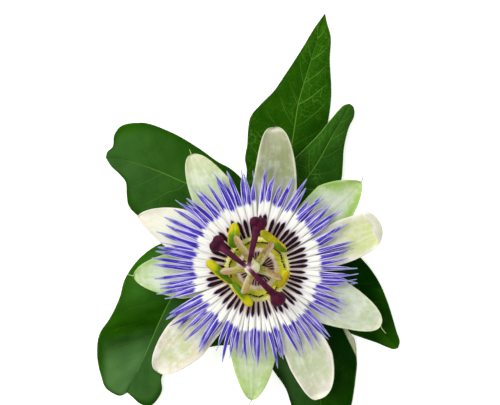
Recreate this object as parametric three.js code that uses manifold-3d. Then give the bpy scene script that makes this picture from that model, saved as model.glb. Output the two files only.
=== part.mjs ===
// A blue passion flower picked with a short piece of its vine and three leaves, lying face up.
//
// Millimetres, +Z up. Everything is built round the flower's own centre line, x = 0 and y = 0,
// with the surface it lies on at z = 0. The last lines move the whole so that the middle of its
// bounding box's underside is the origin. Touching pieces keep a gap of 0.3 mm.

import * as THREE from 'three';
import { mergeVertices } from 'three/addons/utils/BufferGeometryUtils.js';
import Module from 'manifold-3d';

const wasm = await Module();
wasm.setup();

// ---------------------------------------------------------------- driving dimensions

const GAP = 0.3;

// Flower cup: a thick-walled bowl with a broad lip, that everything else springs from.
const LIP_RADIUS = 10.6;
const CUP_BOTTOM = 7.3;
const CUP_FLOOR = 9.0;
const LIP_TOP = 15.5;

// Outlines of the turned pieces as radius and height. The cup's goes up the outside, over the lip
// and down the inside. The others are the ring of short filaments and the lid over the chamber.
const CUP_OUTLINE = [
  [0, CUP_BOTTOM], [3.2, CUP_BOTTOM + 0.1], [6.6, 8.4], [8.8, 10.4], [9.6, 12.6],
  [LIP_RADIUS, 13.6], [LIP_RADIUS, 14.8], [10.0, LIP_TOP], [7.4, LIP_TOP - 0.2],
  [6.9, 14.2], [6.6, 11.6], [5.2, 9.8], [0, CUP_FLOOR],
];
const SHORT_CORONA_OUTLINE = [[8.3, 15.8], [9.1, 15.8], [9.0, 17.0], [8.4, 17.0], [8.3, 15.8]];
const OPERCULUM_OUTLINE = [
  [6.2, 13.4], [5.2, 14.8], [3.8, 15.8], [2.5, 16.4], [2.5, 15.9], [3.6, 15.3], [4.8, 14.4],
  [5.7, 13.3], [6.2, 13.4],
];

// Tepals: five sepals in the lower row, five petals in the upper one. A hollow is how far a blade's
// margins stand above its middle. A sepal's thread-like awn leaves its keel at a share of the
// blade's length and ends a little below its tip.
const ROOT_RADIUS = LIP_RADIUS + GAP;
const TEPAL_THICKNESS = 0.6;
const SEPAL_ROOT_HEIGHT = 13.2;
const SEPAL_HOLLOW = 0.6;
const PETAL_ROOT_HEIGHT = 14.4;
const PETAL_HOLLOW = 0.2;
const AWN_RADIUS = 0.35;
const AWN_ROOT = 0.95;
const AWN_DROP = 1.4;

// A blade's outline is a stretch of a sine arch: where on the arch its root and its tip lie, how
// far its widest place is moved outwards, and how slender it is.
const TEPAL_ARCH = { root: 0.17, tip: 0.99, shift: 1.2, slenderness: 0.62 };

// Each sepal: direction in degrees, reach of its tip from the centre, half width, height of its
// tip, and the run of its awn in x and y.
const SEPALS = [
  { angle: 120.6, reach: 42.0, half: 6.2, tip: 11.4, awn: [-0.4, 1.6] },
  { angle: 184.0, reach: 39.6, half: 6.4, tip: 10.6, awn: [-2.2, 0.4] },
  { angle: 267.9, reach: 42.2, half: 6.8, tip: 10.4, awn: [-1.2, -2.0] },
  { angle: 336.2, reach: 43.2, half: 7.2, tip: 10.4, awn: [1.9, -2.6] },
  { angle: 39.6, reach: 43.0, half: 7.3, tip: 11.4, awn: [0.2, 2.4] },
];

// Each petal, likewise.
const PETALS = [
  { angle: 83.9, reach: 45.6, half: 6.2, tip: 12.4 },
  { angle: 154.7, reach: 41.8, half: 6.0, tip: 12.6 },
  { angle: 223.8, reach: 46.2, half: 7.0, tip: 12.0 },
  { angle: 294.2, reach: 46.4, half: 6.9, tip: 12.0 },
  { angle: 18.8, reach: 42.4, half: 7.6, tip: 13.6 },
];

// Corona: two rows of thread-like filaments round the lip, the upper row set between the lower.
// A thread's half width is given at three radii, and its height follows an arch.
const CORONA_THREADS = 48;
const CORONA_REACH = 31.5;
const CORONA_THICKNESS = 0.6;
const CORONA_ARCH = 0.8;
const CORONA_TIP_RISE = 0.5;
const THREAD_HALF_WIDTHS = [[12.2, 0.42], [22, 0.55], [CORONA_REACH, 0.2]];
const CORONA_ROWS = [
  { name: 'corona_outer_filaments', root: 15.4, phase: 0 },
  { name: 'corona_inner_filaments', root: 16.5, phase: 0.5 },
];

// Column in the middle, with the five stamens, the ovary and the three styles on it. It leans
// a little towards -X as it rises.
const COLUMN_RADIUS = 1.5;
const COLUMN_PATH = [[0, 0, CUP_FLOOR + GAP], [-0.1, 0.2, 16], [-0.66, 0.87, 21.6]];
const OVARY_CENTRE = [-1.6, 0.9, 25.2];
const OVARY_LEAN = [-2.0, 0.1, 6.4];
const OVARY_RADIUS = 2.5;
const OVARY_HALF_LENGTH = 3.2;

// A stamen's filament starts and ends a little way off the column and its anther. An arch is the
// share of a piece's run at which it stands highest, and how far it rises there.
const FILAMENT_RADIUS = 0.8;
const FILAMENT_ROOT_HEIGHT = 21.2;
const FILAMENT_ROOT_GAP = 0.4;
const FILAMENT_END_GAP = 0.7;
const FILAMENT_ARCH = { share: 0.55, rise: 0.9 };
const ANTHER_RADIUS = 1.5;

// Each anther: its middle, the direction it lies along, and its length.
const ANTHERS = [
  { centre: [-7.3, 10.7, 22.0], along: [-0.05, -0.8, 0.6], length: 9.0 },
  { centre: [5.0, 8.8, 22.0], along: [0.78, -0.63, 0.0], length: 10.4 },
  { centre: [7.6, -2.6, 22.0], along: [-0.2, -0.8, -0.56], length: 8.6 },
  { centre: [-4.5, -7.6, 22.0], along: [0.64, -0.77, 0.2], length: 9.4 },
  { centre: [-11.7, -0.7, 22.0], along: [0.73, -0.68, 0.0], length: 10.0 },
];

const STYLE_RADIUS = 0.8;
const STYLE_JUNCTION = [-2.86, 0.9, 29.0];
const STYLE_ROOT_DISTANCE = 1.9;
const STYLE_END_GAP = 0.4;
const STYLE_END_RISE = 0.4;
const STYLE_ARCH = { share: 0.5, rise: 0.3 };

// Each stigma: its middle, the direction of its long axis, and its half sizes along that axis,
// along the style and upright.
const STIGMAS = [
  { centre: [0.3, 15.2, 27.0], along: [0.96, -0.26, 0], half: [2.9, 2.0, 1.8] },
  { centre: [-13.0, 8.6, 27.0], along: [-0.66, -0.75, 0], half: [2.9, 2.0, 1.8] },
  { centre: [6.5, -8.9, 27.0], along: [-0.6, -0.8, 0], half: [2.5, 2.8, 1.8] },
];

// Stalks and bracts under the flower.
const STEM_RADIUS = 1.4;
const STEM_PATH = [[-24, 10.2, 1.4], [-12, 11.9, 1.4], [-2, 11.8, 1.4], [5.5, 12.0, 1.4]];
const PEDUNCLE_RADIUS = 1.2;
const PEDUNCLE_PATH = [
  [0, 0, 6.8], [0, 0.3, 6.2], [-0.7, 3.4, 5.1], [-2.6, 7.6, 4.6], [-5.5, 9.6, 4.5],
];
const BRACT_ANGLES = [75, 195, 315];
const BRACT_ROOT_RADIUS = 3.4;
const BRACT_REACH = 21;
const BRACT_HALF_WIDTH = 6;
const BRACT_THICKNESS = 0.5;
const BRACT_ROOT_HEIGHT = 6.7;
const BRACT_RISE = 1.4;
const BRACT_ARCH = { root: 0.12, tip: 0.96, shift: 1, slenderness: 0.8 };

// Leaves: a petiole and a blade of one to three lobes. A lobe's midrib runs from the blade's base
// to the lobe's tip, and its widths to either side of the midrib are given at equal steps.
const LEAF_THICKNESS = 0.8;
const LEAVES = [
  {
    name: 'leaf_1',
    petiole: [[0.5, 14.0, 2.6], [3.6, 15.0, 3.3], [7.6, 16.6, 3.5]],
    lobes: [
      {
        midrib: [
          [6.7, 15.8, 3.6], [-8.2, 21.8, 3.4], [-23.4, 27.7, 1.8], [-35.3, 32.7, 1.2],
          [-49.9, 36.5, 1.4],
        ],
        left: [1.5, 4.2, 7.1, 10.3, 14.3, 16.4, 15.4, 9.0, 1.0],
        right: [1.5, 4.2, 7.3, 10.2, 11.7, 13.1, 13.7, 12.0, 1.5],
      },
      {
        midrib: [
          [6.7, 15.8, 3.6], [9.2, 29.0, 1.4], [12.0, 43.0, 0.4], [15.4, 60.0, 0.4],
          [22.6, 84.0, 0.7],
        ],
        left: [1.5, 9.5, 13.6, 15.0, 12.9, 7.7, 5.1, 3.1, 0.4],
        right: [1.5, 3.8, 7.5, 10.3, 10.8, 10.1, 7.1, 4.0, 0.4],
      },
      {
        midrib: [[6.7, 15.8, 3.6], [14.3, 26.1, 4.6], [24.2, 42.0, 4.2], [30.5, 54.1, 3.2]],
        left: [1.5, 4.4, 6.2, 6.7, 6.2, 4.9, 3.9, 2.8, 0.8],
        right: [1.5, 5.1, 8.6, 10.1, 10.0, 7.2, 4.6, 3.2, 0.8],
      },
    ],
  },
  {
    name: 'leaf_2',
    petiole: [[7.4, 11.6, 3.0], [9.4, 11.2, 3.1], [12.0, 9.6, 3.1]],
    lobes: [
      {
        midrib: [[11.0, 10.5, 3.2], [24.2, -3.1, 2.4], [37.5, -17.6, 0.5], [46.5, -27.0, 0.6]],
        left: [1.5, 6.0, 10.7, 11.5, 11.5, 10.4, 8.1, 5.1, 0.8],
        right: [1.5, 2.6, 4.9, 6.2, 7.3, 8.4, 7.2, 3.8, 0.8],
      },
      {
        midrib: [[11.0, 10.5, 3.2], [15.3, -11.0, 2.2], [19.2, -34.0, 0.4], [22.9, -56.3, 0.6]],
        left: [1.5, 4.6, 7.6, 9.2, 11.3, 13.4, 12.6, 8.5, 0.8],
        right: [1.5, 5.4, 10.0, 13.8, 15.9, 14.0, 10.4, 8.0, 0.8],
      },
      {
        midrib: [[11.0, 10.5, 3.2], [1.7, -2.7, 3.0], [-7.2, -15.3, 1.9], [-15.5, -26.6, 1.2]],
        left: [1.5, 2.2, 4.4, 6.1, 7.8, 9.1, 9.2, 5.8, 0.8],
        right: [1.5, 4.0, 6.3, 7.3, 8.1, 7.9, 7.6, 5.5, 0.8],
      },
    ],
  },
  {
    name: 'leaf_3',
    petiole: [[-11.4, 9.4, 2.9], [-13.8, 9.8, 3.0], [-17.4, 8.6, 3.0]],
    lobes: [
      {
        midrib: [[-16.5, 9.5, 3.0], [-26.0, -6.0, 1.4], [-35.0, -24.0, 0.4], [-42.6, -43.4, 0.4]],
        left: [1.5, 6.1, 9.2, 11.1, 11.7, 11.0, 8.9, 9.1, 6.7],
        right: [1.5, 10.2, 14.8, 16.3, 15.4, 15.4, 16.1, 13.8, 7.0],
        fold: 2.2,
      },
    ],
  },
];
const PETIOLE_RADIUS = 0.9;

// How finely pieces are divided: turned ones round the centre line, tubes along and round, blades
// along and across, and rounded bodies round and from pole to pole.
const TURNED_SIDES = 24;
const TUBE_STEPS = 6;
const SHORT_TUBE_STEPS = 4;
const STEM_STEPS = 12;
const TUBE_SIDES = 8;
const AWN_STEPS = 2;
const AWN_SIDES = 6;
const TEPAL_GRID = [8, 4];
const BRACT_GRID = [5, 2];
const LEAF_GRID = [10, 4];
const OVARY_GRID = [12, 8];
const STIGMA_GRID = [10, 7];
const ANTHER_CAP_STEPS = 3;
const ANTHER_SIDES = 8;

// The share of a blade over which its slope is taken, and how near points are welded.
const SLOPE_STEP = 0.01;
const WELD_DISTANCE = 1e-4;

// ---------------------------------------------------------------- materials

const finish = (color, roughness) => (
  new THREE.MeshStandardMaterial({ color, roughness, metalness: 0 })
);

const MATERIALS = {
  leaf: finish(0x1f4a0c, 0.4),
  stem: finish(0x5f7f35, 0.5),
  cup: finish(0xc9d58a, 0.5),
  sepal: finish(0xc3d49b, 0.55),
  petal: finish(0xdedcc4, 0.6),
  corona: finish(0x4a3bb0, 0.6),
  dark: finish(0x24101f, 0.5),
  column: finish(0xc9cf9a, 0.5),
  anther: finish(0xc9c93a, 0.7),
  ovary: finish(0xcfe0b4, 0.45),
  style: finish(0x5c2248, 0.45),
};

// ---------------------------------------------------------------- geometry helpers

const vector = (xyz) => new THREE.Vector3(...xyz);
const curveThrough = (points) => new THREE.CatmullRomCurve3(points.map(vector));

function mesh(name, geometry, material) {
  const piece = new THREE.Mesh(geometry, material);
  piece.name = name;
  return piece;
}

// A solid turned about the centre line from an outline of radius and height.
function turned(outline) {
  const points = outline.map((point) => new THREE.Vector2(...point));
  return new THREE.LatheGeometry(points, TURNED_SIDES).rotateX(Math.PI / 2);
}

// The level direction at an angle from +X, in degrees.
function heading(degrees) {
  const angle = THREE.MathUtils.degToRad(degrees);
  return new THREE.Vector3(Math.cos(angle), Math.sin(angle), 0);
}

// A round tube of constant radius along a curve through the given points.
function tubeAlong(points, radius, steps = TUBE_STEPS, sides = TUBE_SIDES) {
  const section = new THREE.Shape();
  section.absarc(0, 0, radius, 0, 2 * Math.PI, false);
  return new THREE.ExtrudeGeometry(section, {
    curveSegments: sides / 2,
    steps,
    extrudePath: curveThrough(points),
    bevelEnabled: false,
  });
}

// A closed sheet: a flat box whose grid is laid on surface(along, across), along from 0 to 1 and
// across from -1 to 1, and given its thickness square to that surface.
function bentSheet(surface, thickness, [alongSteps, acrossSteps]) {
  const geometry = new THREE.BoxGeometry(2, 1, 2, acrossSteps, alongSteps, 1);
  const position = geometry.getAttribute('position');
  for (let i = 0; i < position.count; i += 1) {
    const along = position.getY(i) + 0.5;
    const across = position.getX(i);
    const side = position.getZ(i);
    const a = Math.min(along, 1 - SLOPE_STEP);
    const c = Math.min(across, 1 - SLOPE_STEP);
    const alongRun = surface(a + SLOPE_STEP, across).sub(surface(a, across));
    const acrossRun = surface(along, c + SLOPE_STEP).sub(surface(along, c));
    const normal = acrossRun.cross(alongRun).normalize();
    const point = surface(along, across).addScaledVector(normal, (side * thickness) / 2);
    position.setXYZ(i, point.x, point.y, point.z);
  }
  return geometry;
}

function toSolid(geometry) {
  const bare = geometry.clone();
  bare.deleteAttribute('normal');
  bare.deleteAttribute('uv');
  const welded = mergeVertices(bare, WELD_DISTANCE);
  return new wasm.Manifold(new wasm.Mesh({
    numProp: 3,
    vertProperties: new Float32Array(welded.getAttribute('position').array),
    triVerts: new Uint32Array(welded.getIndex().array),
  }));
}

// One geometry from several closed ones that run into each other.
function joined(geometries) {
  const solid = geometries.map(toSolid).reduce((whole, next) => whole.add(next));
  const result = solid.getMesh();
  const geometry = new THREE.BufferGeometry();
  geometry.setAttribute('position', new THREE.BufferAttribute(result.vertProperties, 3));
  geometry.setIndex(new THREE.BufferAttribute(result.triVerts, 1));
  geometry.computeVertexNormals();
  return geometry;
}

// The half width of a blade as a share of its widest.
const archWidth = ({ root, tip, shift, slenderness }, along) => (
  Math.sin(Math.PI * (root + (tip - root) * along ** shift)) ** slenderness
);

// ---------------------------------------------------------------- ovary

function buildOvary() {
  const ovary = mesh('ovary', new THREE.SphereGeometry(1, ...OVARY_GRID), MATERIALS.ovary);
  ovary.geometry.scale(OVARY_RADIUS, OVARY_HALF_LENGTH, OVARY_RADIUS);
  ovary.quaternion.setFromUnitVectors(new THREE.Vector3(0, 1, 0), vector(OVARY_LEAN).normalize());
  ovary.position.set(...OVARY_CENTRE);
  return ovary;
}

// ---------------------------------------------------------------- corona

// Height of a corona row at a radius: an arch from its root, ending a little above it.
function coronaHeight(radius) {
  const run = (radius - ROOT_RADIUS) / (CORONA_REACH - ROOT_RADIUS);
  return CORONA_ARCH * Math.sin(Math.PI * Math.min(run, 1)) + CORONA_TIP_RISE * run;
}

// A ring with threads all round it, cut from flat sheet and then arched.
function buildCoronaRow({ name, root, phase }) {
  const pitch = (2 * Math.PI) / CORONA_THREADS;
  const outline = [];
  for (let k = 0; k < CORONA_THREADS; k += 1) {
    const angle = (k + phase) * pitch;
    const edge = (side) => THREAD_HALF_WIDTHS.map(([radius, half]) => (
      new THREE.Vector2(radius, side * half).rotateAround(new THREE.Vector2(), angle)
    ));
    outline.push(...edge(-1), ...edge(1).reverse());
  }
  const ring = new THREE.Shape(outline);
  ring.holes.push(new THREE.Path().absarc(0, 0, ROOT_RADIUS, 0, 2 * Math.PI, true));
  const geometry = new THREE.ExtrudeGeometry(ring, {
    depth: CORONA_THICKNESS, steps: 1, curveSegments: TURNED_SIDES, bevelEnabled: false,
  });
  const position = geometry.getAttribute('position');
  for (let i = 0; i < position.count; i += 1) {
    const radius = Math.hypot(position.getX(i), position.getY(i));
    position.setZ(i, position.getZ(i) + root - CORONA_THICKNESS / 2 + coronaHeight(radius));
  }
  return mesh(name, geometry, MATERIALS.corona);
}

// ---------------------------------------------------------------- sepals and petals

// A tepal's surface: it leaves the lip level, then its middle line droops to the tip's height.
function tepalSurface({ angle, reach, half, tip }, rootHeight, hollow) {
  const outward = heading(angle);
  const sideways = outward.clone().cross(new THREE.Vector3(0, 0, 1));
  return (along, across) => {
    const width = half * archWidth(TEPAL_ARCH, along);
    const edgeLift = hollow * across ** 2 * Math.sin(Math.PI * along);
    return new THREE.Vector3(0, 0, rootHeight + (tip - rootHeight) * along ** 2 + edgeLift)
      .addScaledVector(outward, ROOT_RADIUS + (reach - ROOT_RADIUS) * along)
      .addScaledVector(sideways, across * width);
  };
}

function buildSepal(sizes, index) {
  const surface = tepalSurface(sizes, SEPAL_ROOT_HEIGHT, SEPAL_HOLLOW);
  const blade = bentSheet(surface, TEPAL_THICKNESS, TEPAL_GRID);
  const foot = surface(AWN_ROOT, 0);
  const end = surface(1, 0).add(new THREE.Vector3(...sizes.awn, -AWN_DROP));
  const awn = tubeAlong([foot.toArray(), end.toArray()], AWN_RADIUS, AWN_STEPS, AWN_SIDES);
  return mesh(`sepal_${index + 1}`, joined([blade, awn]), MATERIALS.sepal);
}

function buildPetal(sizes, index) {
  const surface = tepalSurface(sizes, PETAL_ROOT_HEIGHT, PETAL_HOLLOW);
  const blade = bentSheet(surface, TEPAL_THICKNESS, TEPAL_GRID);
  return mesh(`petal_${index + 1}`, blade, MATERIALS.petal);
}

// ---------------------------------------------------------------- stamens, styles and stigmas

function buildAnther({ centre, along, length }, index) {
  const straight = length - 2 * ANTHER_RADIUS;
  const body = new THREE.CapsuleGeometry(ANTHER_RADIUS, straight, ANTHER_CAP_STEPS, ANTHER_SIDES);
  const anther = mesh(`anther_${index + 1}`, body, MATERIALS.anther);
  anther.quaternion.setFromUnitVectors(new THREE.Vector3(0, 1, 0), vector(along).normalize());
  anther.position.set(...centre);
  return anther;
}

// A filament runs from the column's side to just short of its anther's nearer side.
function buildStamenFilament({ centre, along }, index) {
  const [, , columnTop] = COLUMN_PATH.map(vector);
  const root = new THREE.Vector3(columnTop.x, columnTop.y, FILAMENT_ROOT_HEIGHT);
  const outward = vector(centre).sub(root).setZ(0).normalize();
  const skew = outward.clone().cross(vector(along).normalize()).length();
  const start = root.clone().addScaledVector(outward, COLUMN_RADIUS + FILAMENT_ROOT_GAP);
  const end = vector(centre).addScaledVector(outward, -(ANTHER_RADIUS + FILAMENT_END_GAP) / skew);
  const middle = start.clone().lerp(end, FILAMENT_ARCH.share);
  middle.z += FILAMENT_ARCH.rise;
  const path = [start, middle, end].map((p) => p.toArray());
  return mesh(`stamen_filament_${index + 1}`, tubeAlong(path, FILAMENT_RADIUS), MATERIALS.column);
}

function buildStigma({ centre, along, half }, index) {
  const ball = new THREE.SphereGeometry(1, ...STIGMA_GRID);
  const stigma = mesh(`stigma_${index + 1}`, ball, MATERIALS.style);
  stigma.geometry.rotateX(Math.PI / 2);
  stigma.geometry.scale(...half);
  stigma.rotation.z = Math.atan2(along[1], along[0]);
  stigma.position.set(...centre);
  return stigma;
}

// A style leaves the ovary's top and arches over to its stigma.
function buildStyle({ centre, half }, index) {
  const junction = vector(STYLE_JUNCTION);
  const outward = vector(centre).sub(junction).setZ(0).normalize();
  const start = junction.clone().addScaledVector(outward, STYLE_ROOT_DISTANCE);
  const end = vector(centre).addScaledVector(outward, -(half[1] + STYLE_END_GAP));
  end.z += STYLE_END_RISE;
  const middle = start.clone().lerp(end, STYLE_ARCH.share).setZ(junction.z + STYLE_ARCH.rise);
  const path = [start, middle, end].map((p) => p.toArray());
  return mesh(`style_${index + 1}`, tubeAlong(path, STYLE_RADIUS), MATERIALS.style);
}

// ---------------------------------------------------------------- stalks, bracts and leaves

function buildBract(angle, index) {
  const outward = heading(angle);
  const sideways = outward.clone().cross(new THREE.Vector3(0, 0, 1));
  const surface = (along, across) => new THREE.Vector3(0, 0, BRACT_ROOT_HEIGHT + BRACT_RISE * along)
    .addScaledVector(outward, BRACT_ROOT_RADIUS + (BRACT_REACH - BRACT_ROOT_RADIUS) * along)
    .addScaledVector(sideways, across * BRACT_HALF_WIDTH * archWidth(BRACT_ARCH, along));
  const blade = bentSheet(surface, BRACT_THICKNESS, BRACT_GRID);
  return mesh(`bract_${index + 1}`, blade, MATERIALS.sepal);
}

// A lobe's surface: across -1 is its left edge seen from the base, and 1 its right edge.
function lobeSurface({ midrib, left, right, fold = 0 }) {
  const spine = curveThrough(midrib);
  const widths = curveThrough(left.map((width, i) => [i, width, right[i]]));
  return (along, across) => {
    const point = spine.getPoint(along);
    const forward = spine.getTangent(along).setZ(0).normalize();
    const rightward = forward.clone().cross(new THREE.Vector3(0, 0, 1));
    const width = widths.getPoint(along);
    point.addScaledVector(rightward, across * (across < 0 ? width.y : width.z));
    const lift = fold * Math.abs(across) * Math.sin(Math.PI * along);
    point.z = Math.max(point.z, LEAF_THICKNESS / 2) + lift;
    return point;
  };
}

function buildLeaf({ name, petiole, lobes }) {
  const blades = lobes.map((lobe) => bentSheet(lobeSurface(lobe), LEAF_THICKNESS, LEAF_GRID));
  const stalk = tubeAlong(petiole, PETIOLE_RADIUS, SHORT_TUBE_STEPS);
  return mesh(name, joined([stalk, ...blades]), MATERIALS.leaf);
}

// ---------------------------------------------------------------- the whole flower

const flower = new THREE.Group();
flower.add(
  mesh('vine_stem', tubeAlong(STEM_PATH, STEM_RADIUS, STEM_STEPS), MATERIALS.stem),
  mesh('peduncle', tubeAlong(PEDUNCLE_PATH, PEDUNCLE_RADIUS), MATERIALS.stem),
  ...BRACT_ANGLES.map(buildBract),
  mesh('calyx_cup', turned(CUP_OUTLINE), MATERIALS.cup),
  ...SEPALS.map(buildSepal),
  ...PETALS.map(buildPetal),
  ...CORONA_ROWS.map(buildCoronaRow),
  mesh('short_corona', turned(SHORT_CORONA_OUTLINE), MATERIALS.dark),
  mesh('operculum', turned(OPERCULUM_OUTLINE), MATERIALS.dark),
  mesh('androgynophore', tubeAlong(COLUMN_PATH, COLUMN_RADIUS, SHORT_TUBE_STEPS), MATERIALS.column),
  ...ANTHERS.map(buildStamenFilament),
  ...ANTHERS.map(buildAnther),
  buildOvary(),
  ...STIGMAS.map(buildStyle),
  ...STIGMAS.map(buildStigma),
  ...LEAVES.map(buildLeaf),
);

flower.updateMatrixWorld(true);
const bounds = new THREE.Box3().setFromObject(flower, true);
const middle = bounds.getCenter(new THREE.Vector3());
flower.position.set(-middle.x, -middle.y, -bounds.min.z);

const group = new THREE.Group();
group.add(flower);

export default group;
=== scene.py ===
"""A blue passion flower with a short piece of its vine and three leaves, lying face up.

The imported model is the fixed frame: each of its nodes is replaced by one finely modelled piece,
worked out with numpy as whole arrays. Shapes are in millimetres from the flower's own centre
line, +Z up, with the surface it lies on at z = 0, and become metres when a mesh is written.
"""

import logging
import math
from dataclasses import dataclass, field
from enum import Enum
from typing import Any, Sequence

import bmesh
import bpy
import numpy as np
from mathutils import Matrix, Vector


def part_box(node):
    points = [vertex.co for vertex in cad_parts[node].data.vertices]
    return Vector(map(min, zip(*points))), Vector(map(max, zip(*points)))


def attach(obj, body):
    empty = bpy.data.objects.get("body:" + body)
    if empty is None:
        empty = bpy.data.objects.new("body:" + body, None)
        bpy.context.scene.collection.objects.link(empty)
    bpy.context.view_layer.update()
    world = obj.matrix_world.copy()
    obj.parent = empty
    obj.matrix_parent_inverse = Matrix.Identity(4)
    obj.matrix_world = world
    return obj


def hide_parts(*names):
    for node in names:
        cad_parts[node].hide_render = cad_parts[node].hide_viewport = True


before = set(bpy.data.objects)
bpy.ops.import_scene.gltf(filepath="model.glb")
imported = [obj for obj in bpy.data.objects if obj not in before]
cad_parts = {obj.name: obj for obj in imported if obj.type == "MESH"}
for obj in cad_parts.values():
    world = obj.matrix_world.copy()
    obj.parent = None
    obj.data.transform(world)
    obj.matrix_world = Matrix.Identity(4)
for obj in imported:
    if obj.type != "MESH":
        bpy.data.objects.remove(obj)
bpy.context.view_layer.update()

Array = np.ndarray
Number = float | Array
Point = tuple[float, ...]
Piece = bpy.types.Object
Material = bpy.types.Material

LOG = logging.getLogger("passion_flower")
MM = 0.001
BODY = "root"
TURN = 2 * math.pi
UP = (0, 0, 1)

# The flower's centre line stands over the middle of its cup.
cup_low, cup_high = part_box("calyx_cup")
FLOWER_ORIGIN = np.array([(cup_low.x + cup_high.x) / 2, (cup_low.y + cup_high.y) / 2, 0.0])

# The radius at which filaments, sepals and petals leave the cup.
ROOT_RADIUS = 10.5
# Mesh points nearer to each other than this, in millimetres, are one point.
WELD_DISTANCE = 0.001
# A length that stands in for none, so that nothing is divided by zero.
TINY = 1e-9


class Slot(Enum):
    """The record's material slots."""

    STEM = "stem"
    BRACT = "bract"
    CUP = "cup"
    SEPAL = "sepal"
    PETAL = "petal"
    CORONA = "corona"
    CORONA_DARK = "corona_dark"
    COLUMN = "column"
    ANTHER = "anther"
    OVARY = "ovary"
    STYLE = "style"
    STIGMA = "stigma"
    LEAF = "leaf"


# --- arithmetic on arrays


def unit(vectors: Array) -> Array:
    """Vectors of the same directions, each one long; a vector of no length stays so."""
    return vectors / np.maximum(np.linalg.norm(vectors, axis=-1, keepdims=True), TINY)


def left_of(heading: Array) -> Array:
    """Flat directions turned a quarter turn to the left."""
    return np.stack([-heading[..., 1], heading[..., 0]], axis=-1)


def crossed(first: Array, second: Array) -> Array:
    """The flat cross product: how far the second reaches to the left of a first one long."""
    return first[..., 0] * second[..., 1] - first[..., 1] * second[..., 0]


def raised(flat: Array, height: Array) -> Array:
    """Points of x and y with their heights added as z."""
    return np.concatenate([flat, height[..., None]], axis=-1)


def smooth(low: float, high: float, value: Number) -> Array:
    """Zero at low, one at high and the curve 3x^2 - 2x^3 between; low may be the larger."""
    x = np.clip((np.asarray(value, float) - low) / (high - low), 0, 1)
    return x * x * (3 - 2 * x)


def eased(count: int) -> Array:
    """Numbers from 0 to 1 that crowd at both ends: half of one minus cosine."""
    return (1 - np.cos(np.linspace(0, math.pi, count))) / 2


def domed(along: Array, share: float) -> Array:
    """A quarter circle's rise from 0 to 1 over a share of the length at both ends."""
    near_end = np.clip(1 - np.minimum(along, 1 - along) / share, 0, 1)
    return np.sqrt(1 - near_end**2)


def bell(offset: Array, width: float) -> Array:
    """One at no offset, falling off to both sides: e to the minus square of offset by width."""
    return np.exp(-((offset / width) ** 2))


def stepped(stations: Sequence[Point], run: Array) -> Array:
    """Straight lines between stations, each a place on the run and the value there."""
    places, values = np.array(stations, float).T
    return np.interp(run, places, values)


def blade_rim(run: Array, across: Array) -> Array:
    """One inside a blade and zero at its rim.

    It is the square root of one less the eighth power of the way across, times one less the
    26th power of the way from the middle to either end.

    Args:
        run: From 0 at the blade's root to 1 at its tip.
        across: From -1 at one margin to 1 at the other.

    Returns:
        One number for each point.
    """
    aside = np.clip(1 - across**8, 0, 1)
    onward = np.clip(1 - (2 * run - 1) ** 26, 0, 1)
    return np.sqrt(aside * onward)


def on_circle(angle: Number, radius: Number, height: Number) -> Array:
    """Points at an angle in radians, a radius and a height round the centre line."""
    angle, radius, height = np.broadcast_arrays(angle, radius, height)
    return np.stack([radius * np.cos(angle), radius * np.sin(angle), height], axis=-1)


def ripple(points: Array, wavelength: float, seed: int) -> Array:
    """A gentle uneven swell over x and y, about -1 to 1.

    It is the mean of five sine waves of directions, phases and lengths drawn from the seed.

    Args:
        points: Any array whose last axis holds x and y first.
        wavelength: The middle wavelength, in millimetres.
        seed: What the draw starts from.

    Returns:
        One number for each point.
    """
    waves = 5
    draw = np.random.default_rng(seed)
    heading = draw.uniform(0, TURN, waves)
    phase = draw.uniform(0, TURN, waves)
    length = wavelength * draw.uniform(0.6, 1.6, waves)
    across = points[..., :1] * np.cos(heading) + points[..., 1:2] * np.sin(heading)
    return np.sin(TURN * across / length + phase).mean(axis=-1) * 1.6


class Curve:
    """A smooth line through points: a cubic piece between each two, with shared slopes."""

    def __init__(self, points: Sequence[Point] | Array) -> None:
        """Keeps the points, how far along each one is, and the slope there.

        Args:
            points: Points of two or three coordinates, in order.
        """
        self.points = np.asarray(points, float)
        steps = np.linalg.norm(np.diff(self.points, axis=0), axis=1)
        self.knots = np.concatenate([[0.0], np.cumsum(steps)]) / steps.sum()
        self.slopes = np.gradient(self.points, self.knots, axis=0)

    def at(self, along: Array) -> Array:
        """Points on the curve, for shares of its length from 0 to 1.

        Args:
            along: Shares of the length.

        Returns:
            A point for each share.
        """
        along = np.asarray(along, float)
        left = np.clip(np.searchsorted(self.knots, along, side="right") - 1, 0, len(self.knots) - 2)
        gap = (self.knots[left + 1] - self.knots[left])[..., None]
        x = (along - self.knots[left])[..., None] / gap
        return (
            (1 + 2 * x) * (1 - x) ** 2 * self.points[left]
            + x**2 * (3 - 2 * x) * self.points[left + 1]
            + gap * x * (1 - x) ** 2 * self.slopes[left]
            - gap * x**2 * (1 - x) * self.slopes[left + 1]
        )


# --- surfaces


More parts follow.
